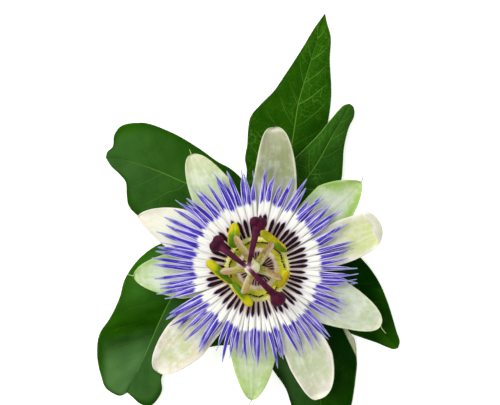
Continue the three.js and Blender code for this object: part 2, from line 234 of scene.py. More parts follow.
@dataclass
class Surface:
    """Points, four-sided faces, two map coordinates and named marks at each point."""

    points: Array
    faces: Array
    uv: Array
    marks: dict[str, Array] = field(default_factory=dict)

    @classmethod
    def grid(cls, points: Array, along: Array, across: Array, **marks: Number) -> "Surface":
        """Joins a grid of points into faces.

        Args:
            points: Rows by columns by 3, or several such grids on a leading axis.
            along: The map's first coordinate, of any shape that spreads over the grid.
            across: The map's second coordinate, likewise.
            **marks: More values at each point, likewise.

        Returns:
            The surface, with one face in each cell of each grid.
        """
        shape = points.shape[:-1]
        rows, columns = shape[-2:]
        copies = int(np.prod(shape[:-2], initial=1))
        corner = (np.arange(rows - 1)[:, None] * columns + np.arange(columns - 1)).ravel()
        cell = np.stack([corner, corner + 1, corner + columns + 1, corner + columns], axis=1)
        faces = cell + np.arange(copies)[:, None, None] * rows * columns
        spread = {name: np.broadcast_to(value, shape).ravel() for name, value in marks.items()}
        uv = np.stack([np.broadcast_to(c, shape).ravel() for c in (along, across)], axis=1)
        return cls(points.reshape(-1, 3), faces.reshape(-1, 4), uv, spread)

    @classmethod
    def joined(cls, parts: Sequence["Surface"]) -> "Surface":
        """Several surfaces as one; a mark that a part lacks is zero there.

        Args:
            parts: The surfaces, in order.

        Returns:
            One surface.
        """
        starts = np.cumsum([0] + [len(part.points) for part in parts[:-1]])
        names = sorted({name for part in parts for name in part.marks})
        return cls(
            np.concatenate([part.points for part in parts]),
            np.concatenate([part.faces + start for part, start in zip(parts, starts)]),
            np.concatenate([part.uv for part in parts]),
            {
                name: np.concatenate([p.marks.get(name, np.zeros(len(p.points))) for p in parts])
                for name in names
            },
        )

    @classmethod
    def sheet(
        cls, middle: Array, thickness: Array, along: Array, across: Array, **marks: Number
    ) -> "Surface":
        """A closed sheet: the middle surface plus and minus half the thickness along its normal.

        The thickness falls to nothing at the rim, where both faces meet.

        Args:
            middle: Rows by columns by 3.
            thickness: Millimetres, of a shape that spreads over the grid.
            along: The map's first coordinate.
            across: The map's second coordinate.
            **marks: More values at each point. The mark "under" is added, 1 on the lower face.

        Returns:
            Both faces as one surface.
        """
        down_rows = np.gradient(middle, axis=0)
        down_columns = np.gradient(middle, axis=1)
        normal = unit(np.cross(down_rows, down_columns))
        normal *= np.where(normal[..., 2:] < 0, -1.0, 1.0)
        offset = normal * (np.broadcast_to(thickness, middle.shape[:-1]) / 2)[..., None]
        upper = cls.grid(middle + offset, along, across, under=0.0, **marks)
        lower = cls.grid(middle - offset, along, across, under=1.0, **marks)
        return cls.joined([upper, lower])

    @classmethod
    def tube(
        cls, path: Array, wide: Number, thick: Number, sides: int, up: Point, **marks: Number
    ) -> "Surface":
        """A section carried along a path.

        A point is the path's point, plus the sideways direction times the width times cosine,
        plus the upward direction times the thickness times sine, of an angle round the section.
        Ends close where the width and thickness are zero.

        Args:
            path: Stations by 3, or several such paths on a leading axis.
            wide: Half widths, one for each station, or one for each station and side.
            thick: Half thicknesses, likewise.
            sides: How many faces go round the section.
            up: The direction that the section's thickness is nearest to.
            **marks: More values, one for each station or each station and side. The mark
                "side" is added: the cosine of the angle round the section.

        Returns:
            The surface, whose map runs along the path and round the section.
        """
        ahead = unit(np.gradient(path, axis=-2))
        sideways = unit(np.cross(ahead, np.asarray(up, float)))
        over = np.cross(sideways, ahead)
        turn = np.linspace(0, 1, sides + 1)
        shape = path.shape[:-1]

        def to_grid(value: Number) -> Array:
            """A value for each station gets an axis for the sides; others stay as they are."""
            value = np.asarray(value, float)
            return value[..., None] if value.ndim <= 1 or value.ndim == len(shape) else value

        wide_way = to_grid(wide) * np.cos(TURN * turn)
        thick_way = to_grid(thick) * np.sin(TURN * turn)
        points = (
            path[..., None, :]
            + sideways[..., None, :] * wide_way[..., None]
            + over[..., None, :] * thick_way[..., None]
        )
        along = np.linspace(0, 1, shape[-1])[:, None]
        marks = {name: to_grid(value) for name, value in marks.items()}
        return cls.grid(points, along, turn, side=np.cos(TURN * turn), **marks)

    @classmethod
    def turned(cls, profile: Array, steps: int, lift: Number, **marks: Number) -> "Surface":
        """A profile of radius and height turned round the centre line.

        Args:
            profile: Stations by 2. It starts and ends on the centre line or closes on itself.
            steps: How many faces go round.
            lift: What is added to the height, one for each station and step.
            **marks: More values at each point. The mark "radius" is added.

        Returns:
            The closed surface, whose map runs along the profile and round the centre line.
        """
        turn = np.linspace(0, 1, steps + 1)
        radius = profile[:, :1] * np.ones(steps + 1)
        height = profile[:, 1:] + lift
        points = on_circle(TURN * turn, radius, height)
        along = np.linspace(0, 1, len(profile))[:, None]
        return cls.grid(points, along, turn, radius=radius, **marks)


def write_piece(node: str, part: str, surface: Surface, finish: "Finish") -> Piece:
    """Makes the Blender object of a piece that stands for a CAD node.

    Points that meet at seams, poles and rims are merged, and faces are turned to point out.

    Args:
        node: The CAD node that it replaces.
        part: What its name adds to the node's.
        surface: The shape, in millimetres from the flower's centre line.
        finish: What it is dressed in.

    Returns:
        The object, at the origin, riding on the one body.
    """
    name = f"{node}_{part}"
    mesh = bpy.data.meshes.new(name)
    mesh.from_pydata(surface.points * MM + FLOWER_ORIGIN, [], surface.faces.tolist())
    loop_points = surface.faces.ravel()
    mesh.uv_layers.new(name="UVMap").data.foreach_set("uv", surface.uv[loop_points].ravel())
    for mark, values in surface.marks.items():
        layer = mesh.attributes.new(mark, "FLOAT", "POINT")
        layer.data.foreach_set("value", values.astype(np.float32))
    shell = bmesh.new()
    shell.from_mesh(mesh)
    bmesh.ops.remove_doubles(shell, verts=shell.verts, dist=WELD_DISTANCE * MM)
    bmesh.ops.recalc_face_normals(shell, faces=shell.faces)
    shell.to_mesh(mesh)
    shell.free()
    mesh.polygons.foreach_set("use_smooth", np.ones(len(mesh.polygons), bool))
    mesh.materials.append(finish.material())
    piece = bpy.data.objects.new(name, mesh)
    bpy.context.scene.collection.objects.link(piece)
    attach(piece, BODY)
    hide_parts(node)
    LOG.info("%s: %d points, %d faces", name, len(mesh.vertices), len(mesh.polygons))
    return piece


# --- shader building


def tint(red: int, green: int, blue: int) -> tuple[float, float, float, float]:
    """A colour given as it looks on a screen, 0 to 255, as the linear values that nodes use.

    Args:
        red: 0 to 255.
        green: Likewise.
        blue: Likewise.

    Returns:
        Red, green, blue and alpha.
    """
    share = np.array([red, green, blue]) / 255
    linear = np.where(share <= 0.04045, share / 12.92, ((share + 0.055) / 1.055) ** 2.4)
    return (*(float(v) for v in linear), 1.0)


class Socket:
    """An output socket that takes part in arithmetic: each operation adds its Math node."""

    def __init__(self, sheet: "Shader", socket: bpy.types.NodeSocket) -> None:
        """Keeps the shader it belongs to and the socket."""
        self.sheet = sheet
        self.socket = socket

    def math(self, operation: str, *values: Any) -> "Socket":
        """A Math node of that operation on these values, in order."""
        return self.sheet.node("ShaderNodeMath", {"operation": operation}, dict(enumerate(values)))

    def __add__(self, other: Any) -> "Socket":
        """This plus the other."""
        return self.math("ADD", self, other)

    __radd__ = __add__

    def __sub__(self, other: Any) -> "Socket":
        """This less the other."""
        return self.math("SUBTRACT", self, other)

    def __rsub__(self, other: Any) -> "Socket":
        """The other less this."""
        return self.math("SUBTRACT", other, self)

    def __mul__(self, other: Any) -> "Socket":
        """This times the other."""
        return self.math("MULTIPLY", self, other)

    __rmul__ = __mul__

    def __pow__(self, other: Any) -> "Socket":
        """This to the power of the other."""
        return self.math("POWER", self, other)

    def __abs__(self) -> "Socket":
        """This without its sign."""
        return self.math("ABSOLUTE", self)

    def larger(self, other: Any) -> "Socket":
        """The larger of this and the other."""
        return self.math("MAXIMUM", self, other)

    def waves(self) -> "Socket":
        """How far this is from its nearest whole number, from 0 to a half."""
        return abs(self.math("FRACT", self + 0.5) - 0.5)

    def between(self, low: float, high: float) -> "Socket":
        """Zero at low, one at high and smooth between them; low may be the larger."""
        values = {"Value": self, "From Min": low, "From Max": high}
        return self.sheet.node("ShaderNodeMapRange", {"interpolation_type": "SMOOTHSTEP"}, values)


class Shader:
    """One material's node tree, round one Principled shader.

    Place is the point on the object, in metres.
    """

    def __init__(self, name: str) -> None:
        """Starts a material with its shader and output.

        Args:
            name: The material's name.
        """
        self.material = bpy.data.materials.new(name)
        self.material.use_nodes = True
        self.tree = self.material.node_tree
        self.tree.nodes.clear()
        self.surface = self.tree.nodes.new("ShaderNodeBsdfPrincipled")
        output = self.tree.nodes.new("ShaderNodeOutputMaterial")
        self.tree.links.new(self.surface.outputs["BSDF"], output.inputs["Surface"])
        self.place = self.node("ShaderNodeTexCoord", {}, {}, "Object")

    def node(
        self, kind: str, settings: dict[str, Any], values: dict[Any, Any], output: Any = 0
    ) -> Socket:
        """Adds a node.

        Args:
            kind: The node's type.
            settings: Its own settings, set first, such as a Math node's operation.
            values: What its inputs hold or are linked to, by name or number.
            output: Which output is wanted, by name or number.

        Returns:
            That output.
        """
        node = self.tree.nodes.new(kind)
        for setting, value in settings.items():
            setattr(node, setting, value)
        for name, value in values.items():
            self.feed(node.inputs[name], value)
        return Socket(self, node.outputs[output])

    def feed(self, socket: bpy.types.NodeSocket, value: Any) -> None:
        """Links an input to an output socket, or sets it to a constant.

        Args:
            socket: The input.
            value: A Socket or a constant.
        """
        if isinstance(value, Socket):
            self.tree.links.new(value.socket, socket)
        else:
            socket.default_value = value

    def mark(self, name: str) -> Socket:
        """A mark that the mesh carries."""
        return self.node("ShaderNodeAttribute", {"attribute_name": name}, {}, "Fac")

    def map(self) -> tuple[Socket, Socket]:
        """The two coordinates of the piece's own map."""
        uv = self.node("ShaderNodeTexCoord", {}, {}, "UV")
        return tuple(self.node("ShaderNodeSeparateXYZ", {}, {0: uv}, k) for k in (0, 1))

    def vector(self, x: Any, y: Any, z: Any = 0.0) -> Socket:
        """Three numbers as a vector."""
        return self.node("ShaderNodeCombineXYZ", {}, {0: x, 1: y, 2: z})

    def noise(
        self, scale: float, detail: float = 2.0, vector: Socket | None = None, output: str = "Fac"
    ) -> Socket:
        """Soft noise from 0 to 1, scale times to one unit of the vector or to a metre."""
        values = {"Vector": vector or self.place, "Scale": scale, "Detail": detail}
        return self.node("ShaderNodeTexNoise", {}, values, output)

    def cells(self, scale: float, vector: Socket | None = None) -> Socket:
        """How far a point is from the nearest wall between cells, as a share of a cell."""
        values = {"Vector": vector or self.place, "Scale": scale}
        return self.node("ShaderNodeTexVoronoi", {"feature": "DISTANCE_TO_EDGE"}, values)

    def blend(self, share: Any, first: Any, second: Any) -> Socket:
        """A colour that goes from the first to the second as share goes from 0 to 1."""
        return self.node("ShaderNodeMix", {"data_type": "RGBA"}, {0: share, 6: first, 7: second}, 2)

    def layered(self, colour: Any, *coats: tuple[Any, Any]) -> Socket:
        """A colour under coats, each a share from 0 to 1 and the colour that it covers with.

        Args:
            colour: What lies undermost.
            *coats: From below upwards.

        Returns:
            The colour on top.
        """
        for share, coat in coats:
            colour = self.blend(share, colour, coat)
        return colour

    def bumped(self, height: Socket, depth: float) -> Socket:
        """A normal for a height from 0 to 1 that stands for a depth in metres."""
        return self.node("ShaderNodeBump", {}, {"Height": height, "Distance": depth})

    def finished(self, **values: Any) -> Material:
        """Fills the shader's sockets, spaces in their names written as underscores.

        Args:
            **values: What each socket holds or is linked to.

        Returns:
            The material.
        """
        for name, value in values.items():
            self.feed(self.surface.inputs[name.replace("_", " ")], value)
        return self.material


@dataclass(frozen=True)
class Finish:
    """What a piece is dressed in. Each kind makes its own material, of this name."""

    name: str

    def material(self) -> Material:
        """The material."""
        raise NotImplementedError


@dataclass(frozen=True)
class LeafFinish(Finish):
    """A leaf: dark green, with pale veins, a thin dark margin and a paler underside, and with a
    painted sheen, a pale haze that stands in for the lamp's reflection.

    Veins is how plainly the veins show, from 0 to 1.
    """

    veins: float = 0.5
    deep: Point = tint(6, 44, 0)
    fresh: Point = tint(50, 108, 8)
    # painted sheen: the pale haze that stands in for the lamp's reflection on the glossy leaf
    bloom: Point = tint(84, 126, 68)
    vein: Point = tint(94, 142, 50)
    below: Point = tint(104, 140, 78)
    roughness: float = 0.5

    def material(self) -> Material:
        """Tone, which is partly painted light and shade, and the painted sheen come from the mesh's
        marks, and veins from the leaf's own map.

        Returns:
            The material.
        """
        s = Shader(self.name)
        tone, bloom, under = s.mark("tone"), s.mark("bloom"), s.mark("under")
        mottle = s.noise(110.0, 4.0)
        clear = s.noise(55.0, 1.0).between(0.35, 0.62)
        fine = s.noise(1500.0)
        sway = s.noise(90.0, 1.0)
        phase = s.mark("phase") + (sway - 0.5) * 0.5
        reach = s.mark("reach")
        side_vein = phase.waves().between(0.034, 0.012) * reach.between(0.93, 0.6)
        bent = s.node(
            "ShaderNodeVectorMath", {"operation": "MULTIPLY_ADD"},
            {0: s.noise(240.0, output="Color"), 1: (0.003, 0.003, 0.003), 2: s.place},
        )
        net = s.cells(250.0, bent).between(0.03, 0.008) * s.noise(170.0, 1.0) * 0.7
        mesh = s.cells(800.0, bent).between(0.09, 0.01)
        rib = s.mark("rib").between(0.36, 0.16) * s.map()[0].between(1.0, 0.7)
        # painted sheen: the reflection's haze, fading out towards the leaf's edge
        painted_sheen_share = bloom * (0.45 + mottle * 0.8) * (reach + (mottle - 0.5) * 0.3).between(1.0, 0.8)
        lines = (side_vein * 0.85).larger(net).larger(mesh * 0.16) * (0.25 + clear * 0.75)
        lines = (lines * self.veins * s.mark("veined")).larger(rib * 0.8)
        vein = s.blend(tone * 0.5, self.vein, tint(116, 160, 56))
        rim = s.blend(s.mark("pale"), tint(54, 52, 26), tint(150, 186, 110))
        husk = (mottle + (fine - 0.5) * 0.3).between(0.42, 0.6)
        dried = s.blend(husk, tint(196, 198, 152), tint(240, 242, 230))
        # tone lifts the green from deep to fresh: partly the leaf's own colour and partly painted
        # light and shade on each half lobe
        upper = s.layered(
            self.deep, (tone * 0.8 + mottle * 0.8 - 0.3, self.fresh), (painted_sheen_share, self.bloom),
            (lines, vein), (s.mark("margin").between(0.34, 0.1) * 0.6, rim), (s.mark("dry"), dried),
        )
        lower = s.layered(
            self.below, (lines * 0.8, tint(168, 190, 132)), (mottle, tint(84, 124, 62))
        )
        height = fine * 0.12 - net * 0.35 - mesh * 0.14 - side_vein * 0.4
        rough = self.roughness + under * 0.2 + (mottle - 0.5) * 0.16
        return s.finished(
            Base_Color=s.blend(under, upper, lower), Roughness=rough,
            Normal=s.bumped(height, 0.00016), Specular_IOR_Level=0.0,
        )


@dataclass(frozen=True)
class TepalFinish(Finish):
    """A soft sepal or petal: a pale middle, tinted margins and tip, fine lengthwise veins, and painted
    light that whitens its root where the corona's shade falls.

    Margin_width is the share of the half width that the margin's tint takes in. Mottling is
    the strength of the patches and of the painted light and shade on the crinkles, rim that of
    the pale edge and keel that of the green line along the underside. Awn is the awn's own
    colour.
    """

    middle: Point
    margin: Point
    tip: Point
    below: Point
    margin_width: float = 0.45
    mottling: float = 0.5
    rim: float = 0.5
    keel: float = 0.0
    awn: Point = tint(170, 198, 118)

    def material(self) -> Material:
        """The map gives the run from root to tip and from one margin, 0, to the other, 1.

        Returns:
            The material.
        """
        s = Shader(self.name)
        along, across = s.map()
        aside = abs(across - 0.5) * 2
        streaks = s.noise(2.0, 4.0, s.vector(along * 2.4, across * 5.0))
        veins = s.noise(1.6, 2.0, s.vector(along * 0.7, across * 34.0)).between(0.42, 0.62)
        cloud = s.noise(190.0, 3.0)
        fine = s.noise(2600.0)
        to_margin = (aside + (cloud - 0.5) * 0.5).between(1 - self.margin_width, 1.02)
        to_tip = (along + (cloud - 0.5) * 0.25).between(0.72, 1.0)
        patch = (streaks * 0.45 + cloud * 0.65).between(0.46, 0.66) * self.mottling
        light = (streaks * 0.3 + s.noise(230.0, 5.0) * 0.8).between(0.52, 0.72)
        # crinkle: painted highlight on its crests and painted shade in its hollows
        crinkle = s.noise(620.0, 4.0)
        crest_highlight = crinkle.between(0.52, 0.66) * self.mottling
        hollow_shade = crinkle.between(0.46, 0.36) * self.mottling
        # painted light: the root is whitened to lift the shade that the corona casts on it
        painted_light_near_root = along.between(0.62, 0.2)
        rim = aside.between(0.88, 0.95).larger(along.between(0.94, 0.975))
        keel = aside.between(0.22, 0.06) * self.keel
        lower = s.layered(
            self.below, (keel, tint(120, 150, 84)), (patch * 0.5, tint(222, 226, 188))
        )
        colour = s.layered(
            self.middle, (to_margin, self.margin), (to_tip * 0.85, self.tip),
            (patch * 0.6, self.margin), (light * self.mottling * 0.7, tint(246, 247, 240)),
            (veins * 0.1 * self.mottling, tint(120, 140, 96)), (crest_highlight * 0.3, tint(252, 252, 246)),
            (hollow_shade * 0.18, tint(150, 168, 112)), (painted_light_near_root * 0.9, tint(248, 252, 242)),
            (rim * self.rim, tint(250, 246, 226)),
            (s.mark("under") * along.between(1.0, 0.985), lower), (s.mark("awn"), self.awn),
        )
        height = streaks * 0.35 + fine * 0.3
        return s.finished(
            Base_Color=colour, Roughness=0.52 + fine * 0.14, Normal=s.bumped(height, 0.00022),
            Specular_IOR_Level=0.15, Subsurface_Weight=0.18,
            Subsurface_Radius=(0.0012, 0.0012, 0.0007), Subsurface_Scale=1.0,
        )


@dataclass(frozen=True)
class CoronaFinish(Finish):
    """Banded threads: purple-black at the root, then white, then blue-violet to a pale tip, with
    painted highlights along the blue threads' edges and painted shade along one side.
    """

    dark: Point = tint(18, 0, 9)
    plum: Point = tint(62, 12, 44)
    white: Point = tint(255, 254, 249)
    blue: Point = tint(68, 48, 192)
    # rim and pale: painted highlights along the blue threads' edges, lavender nearer the root and
    # paler out towards the tips
    rim: Point = tint(224, 218, 255)
    pale: Point = tint(150, 146, 224)

    def material(self) -> Material:
        """Marks: radius in millimetres, band for a thread's own shift, share of its length,
        tail on its thin end, lean for the side that is painted in shade, and barred.

        Barred is one where a dark bar runs along the thread's middle, out from its root.

        Returns:
            The material.
        """
        s = Shader(self.name)
        across = s.mark("side")
        side = abs(across)
        shift = s.mark("band")
        radius = s.mark("radius")
        grain = s.noise(900.0, 3.0)
        streak = s.noise(1.7, 3.0, s.vector(across * 1.5, radius * 0.1, shift * 31.0))
        # line: thin painted highlight lines along the blue
        line = s.noise(1.9, 2.0, s.vector(across * 2.6, radius * 0.07, shift * 57.0 + 9.0))
        root_end = radius + shift * 0.9 + side**2.0 * 2.0 + (grain - 0.5) * 0.8
        dark = root_end.between(16.7, 15.8) * side.between(0.94, 0.78) * s.mark("barred")
        bluing = radius + shift * 0.8 + (grain - 0.5) * 1.0 + (streak - 0.5) * 3.4
        blue = bluing.between(19.7, 20.9)
        tip = (s.mark("share") + (grain - 0.5) * 0.12).between(0.86, 0.98)
        halo = root_end.between(17.8, 15.8) * root_end.between(12.6, 15.0) * s.mark("barred")
        plum = s.blend(streak.between(0.4, 0.7) * 0.6, self.dark, self.plum)
        white = s.layered(
            self.white, ((radius + shift * 0.6).between(15.8, 13.4), tint(255, 240, 228)),
            # painted shade: grey-green along the white threads' edges and in faint grey streaks, where
            # the gaps between threads lie in shade
            (side.between(0.8, 1.0) * 0.45, tint(200, 207, 166)),
            (streak.between(0.5, 0.75) * 0.16, tint(216, 218, 204)),
            (halo * 0.6, tint(206, 170, 216)), (dark, plum),
        )
        # lean: painted shade along one side of each blue thread
        lean = (across * s.mark("lean")).between(0.3, 0.6)
        # lit and edge: the painted highlight along the threads' edges and thin tails; the tails are
        # also pale of their own
        lit = s.blend((radius + shift).between(26.0, 31.0), self.rim, self.pale)
        inner = (radius + shift).between(30.0, 24.0)
        edge = (side + (streak - 0.5) * 0.5 + inner * 0.12).between(0.72, 0.88)
        edge = edge.larger(line.between(0.58, 0.64) * 0.9).larger(s.mark("tail") * 0.4)
        violet = s.layered(
            tint(48, 30, 150), (streak.between(0.36, 0.56), self.blue),
            (line.between(0.44, 0.54) * 0.4, tint(104, 90, 210)), (lean * 0.8, tint(22, 12, 70)),
            (edge * 0.95, lit), (tip * 0.55, tint(196, 198, 238)),
        )
        height = streak * 0.8 + grain * 0.4
        return s.finished(
            Base_Color=s.blend(blue, white, violet), Roughness=0.5,
            Normal=s.bumped(height, 0.00012),
            Specular_IOR_Level=0.08, Subsurface_Weight=0.1,
            Subsurface_Radius=(0.0008, 0.0008, 0.001), Subsurface_Scale=1.0,
        )


@dataclass(frozen=True)
class CupFinish(Finish):
    """The flower's cup: a yellow-green lip, a pinkish cream chamber and a green outside."""

    lip: Point = tint(228, 226, 52)
    outer_lip: Point = tint(255, 250, 170)
    brim: Point = tint(250, 234, 196)
    chamber: Point = tint(255, 240, 210)
    outside: Point = tint(150, 178, 96)

    def material(self) -> Material:
        """Colours follow the radius, and the mark "below" is one on the outside wall.

        Returns:
            The material.
        """
        s = Shader(self.name)
        _, turn = s.map()
        radius = s.mark("radius")
        cloud = s.noise(420.0, 3.0)
        ray = s.noise(1.0, 2.0, s.vector(turn * 90.0, radius * 0.2))
        olive = cloud.between(0.5, 0.62) * radius.between(9.6, 8.8)
        outside = s.blend(cloud.between(0.35, 0.7), self.outside, tint(186, 200, 130))
        colour = s.layered(
            self.lip, ((radius + (cloud - 0.5)).between(9.0, 9.8), self.outer_lip),
            (ray.between(0.45, 0.7) * 0.4, tint(158, 162, 44)), (olive * 0.5, tint(150, 146, 26)),
            (radius.between(10.1, 10.45) * 0.95, tint(255, 246, 150)),
            (radius.between(10.65, 10.85), self.brim),
            ((radius + (cloud - 0.5) * 0.6).between(7.2, 6.7), self.chamber),
            (s.mark("below"), outside),
        )
        return s.finished(
            Base_Color=colour, Roughness=0.4 + cloud * 0.15, Specular_IOR_Level=0.3,
            Normal=s.bumped(ray * 0.7 + cloud * 0.4, 0.00012),
        )


@dataclass(frozen=True)
class OperculumFinish(Finish):
    """The pleated lid: dark purple rays on a pale pinkish skin, darkened near the column by painted
    shade.
    """

    ray: Point = tint(34, 2, 22)
    skin: Point = tint(255, 246, 226)
    margin: Point = tint(196, 198, 84)

    def material(self) -> Material:
        """The mark "ray" is one on a pleat's crest; rays fade out from radius 5.0 to 5.7.

        Returns:
            The material.
        """
        s = Shader(self.name)
        cloud = s.noise(700.0, 3.0)
        radius = s.mark("radius")
        ray = (s.mark("ray") + (cloud - 0.5) * 0.5).between(-0.6, -0.1)
        ray = ray * (radius + (cloud - 0.5) * 1.2).between(5.7, 5.0)
        colour = s.layered(
            self.skin, (radius.between(6.0, 5.2), tint(206, 160, 150)),
            (cloud.between(0.4, 0.7) * 0.5, tint(226, 190, 182)),
            ((radius + (cloud - 0.5) * 0.5).between(6.6, 7.0), self.margin),
            # painted shade: dark near the column, in the recess under the filaments
            (radius.between(3.8, 2.6), tint(56, 12, 34)), (ray, self.ray),
        )
        return s.finished(
            Base_Color=colour, Roughness=0.42 + cloud * 0.12, Specular_IOR_Level=0.4,
            Normal=s.bumped(cloud, 0.0001),
        )


@dataclass(frozen=True)
class SpeckledFinish(Finish):
    """A plain soft tissue that changes along the piece and carries fine specks or streaks.

    Specks is how strongly they show and stretch how closely the streaks repeat lengthwise.
    The colour turns from the root's to the tip's about the share turn_over of the length, and
    flank is how strongly one side of the piece is painted with light.
    """

    root: Point
    tip: Point
    speck: Point
    specks: float = 0.3
    turn_over: float = 0.5
    roughness: float = 0.45
    stretch: float = 6.0
    painted_light_flank: float = 0.0

    def material(self) -> Material:
        """The map runs from root to tip, and the mark "side" from one side to the other.

        Returns:
            The material.
        """
        s = Shader(self.name)
        blur = 0.22
        along, around = s.map()
        cloud = s.noise(500.0, 3.0)
        streak = s.noise(2.0, 3.0, s.vector(along * self.stretch, around * 14.0))
        dots = s.noise(2200.0, 1.0)
        to_tip = (along + (cloud - 0.5) * 0.3).between(self.turn_over - blur, self.turn_over + blur)
        speckle = (dots * 0.4 + streak * 0.3 + cloud * 0.3).between(0.5, 0.58) * self.specks
        # painted light: one side of the piece is paled, as if lit
        lit = (s.mark("side") + (streak - 0.5) * 2.4 + (cloud - 0.5)).between(-0.1, 0.7)
        colour = s.layered(
            self.root, (to_tip, self.tip), (speckle, self.speck),
            (lit * self.painted_light_flank, tint(240, 232, 206)),
        )
        height = streak * 0.6 + dots * 0.4
        return s.finished(
            Base_Color=colour, Roughness=self.roughness + cloud * 0.12, Specular_IOR_Level=0.42,
            Normal=s.bumped(height, 0.00014), Sheen_Weight=0.08,
        )


@dataclass(frozen=True)
class AntherFinish(Finish):
    """A pollen sac: a smooth green to yellow back between bright yellow, grainy edges.

    Ripe is how much further the pollen has spread over the back.
    """

    back: Point = tint(84, 134, 4)
    golden: Point = tint(200, 196, 10)
    pollen: Point = tint(230, 206, 8)
    ripe: float = 0.0

    def material(self) -> Material:
        """The mark "pollen" is one where the sac has split, and "gold" where its back is golden.

        Returns:
            The material.
        """
        s = Shader(self.name)
        cloud = s.noise(480.0, 3.0)
        grain = s.cells(3800.0)
        dusty = (s.mark("pollen") + (cloud - 0.5) * 0.5 + self.ripe).between(0.24, 0.6)
        back = s.layered(
            self.back, (cloud.between(0.4, 0.65), tint(56, 92, 6)),
            ((s.mark("gold") + (cloud - 0.5) * 1.1).between(0.1, 0.9), self.golden),
            (s.noise(2600.0, 1.0).between(0.6, 0.72) * 0.4, tint(168, 172, 36)),
        )
        pollen = s.layered(
            self.pollen, (grain.between(0.28, 0.02), tint(190, 160, 14)),
            (cloud.between(0.5, 0.75) * 0.4, tint(240, 226, 64)),
        )
        return s.finished(
            Base_Color=s.blend(dusty, back, pollen), Roughness=0.42 + dusty * 0.4,
            Specular_IOR_Level=0.14, Normal=s.bumped(grain * dusty, 0.0002),
        )


@dataclass(frozen=True)
class MaroonFinish(Finish):
    """Styles and stigmas: dark maroon-purple with a reddish flush and a velvety top.

    Pale_root is how much paler the root is, and grain how many velvet cells go to a metre.
    """

    base: Point = tint(62, 8, 38)
    flush: Point = tint(100, 24, 60)
    pale_root: float = 0.0
    grain: float = 1500.0

    def material(self) -> Material:
        """The map runs from root to tip and round the piece.

        Returns:
            The material.
        """
        s = Shader(self.name)
        along, around = s.map()
        cloud = s.noise(420.0, 3.0)
        streak = s.noise(1.8, 3.0, s.vector(along * 2.0, around * 12.0))
        velvet = s.cells(self.grain)
        root = (along + (streak - 0.5) * 0.2).between(0.26, 0.03) * self.pale_root
        colour = s.layered(
            self.base, ((cloud * 0.7 + streak * 0.4).between(0.42, 0.72), self.flush),
            (streak.between(0.55, 0.72) * 0.5, tint(38, 8, 32)), (root, tint(216, 180, 194)),
        )
        return s.finished(
            Base_Color=colour, Roughness=0.45 + cloud * 0.2, Specular_IOR_Level=0.12,
            Normal=s.bumped(velvet * 0.6 + streak * 0.4, 0.00014),
        )


@dataclass(frozen=True)
class HeadsFinish(Finish):
    """The short filaments: yellow-green stalks with black-purple heads."""

    stalk: Point = tint(190, 194, 72)
    head: Point = tint(18, 8, 14)

    def material(self) -> Material:
        """The mark "head" is one on the heads.

        Returns:
            The material.
        """
        s = Shader(self.name)
        cloud = s.noise(1500.0)
        stalk = s.blend(cloud.between(0.35, 0.7), self.stalk, tint(150, 156, 54))
        head = s.blend(cloud.between(0.55, 0.75) * 0.5, self.head, tint(58, 24, 42))
        return s.finished(
            Base_Color=s.blend(s.mark("head"), stalk, head), Roughness=0.4 + cloud * 0.15,
            Normal=s.bumped(cloud, 0.00006),
        )


# --- cup and middle


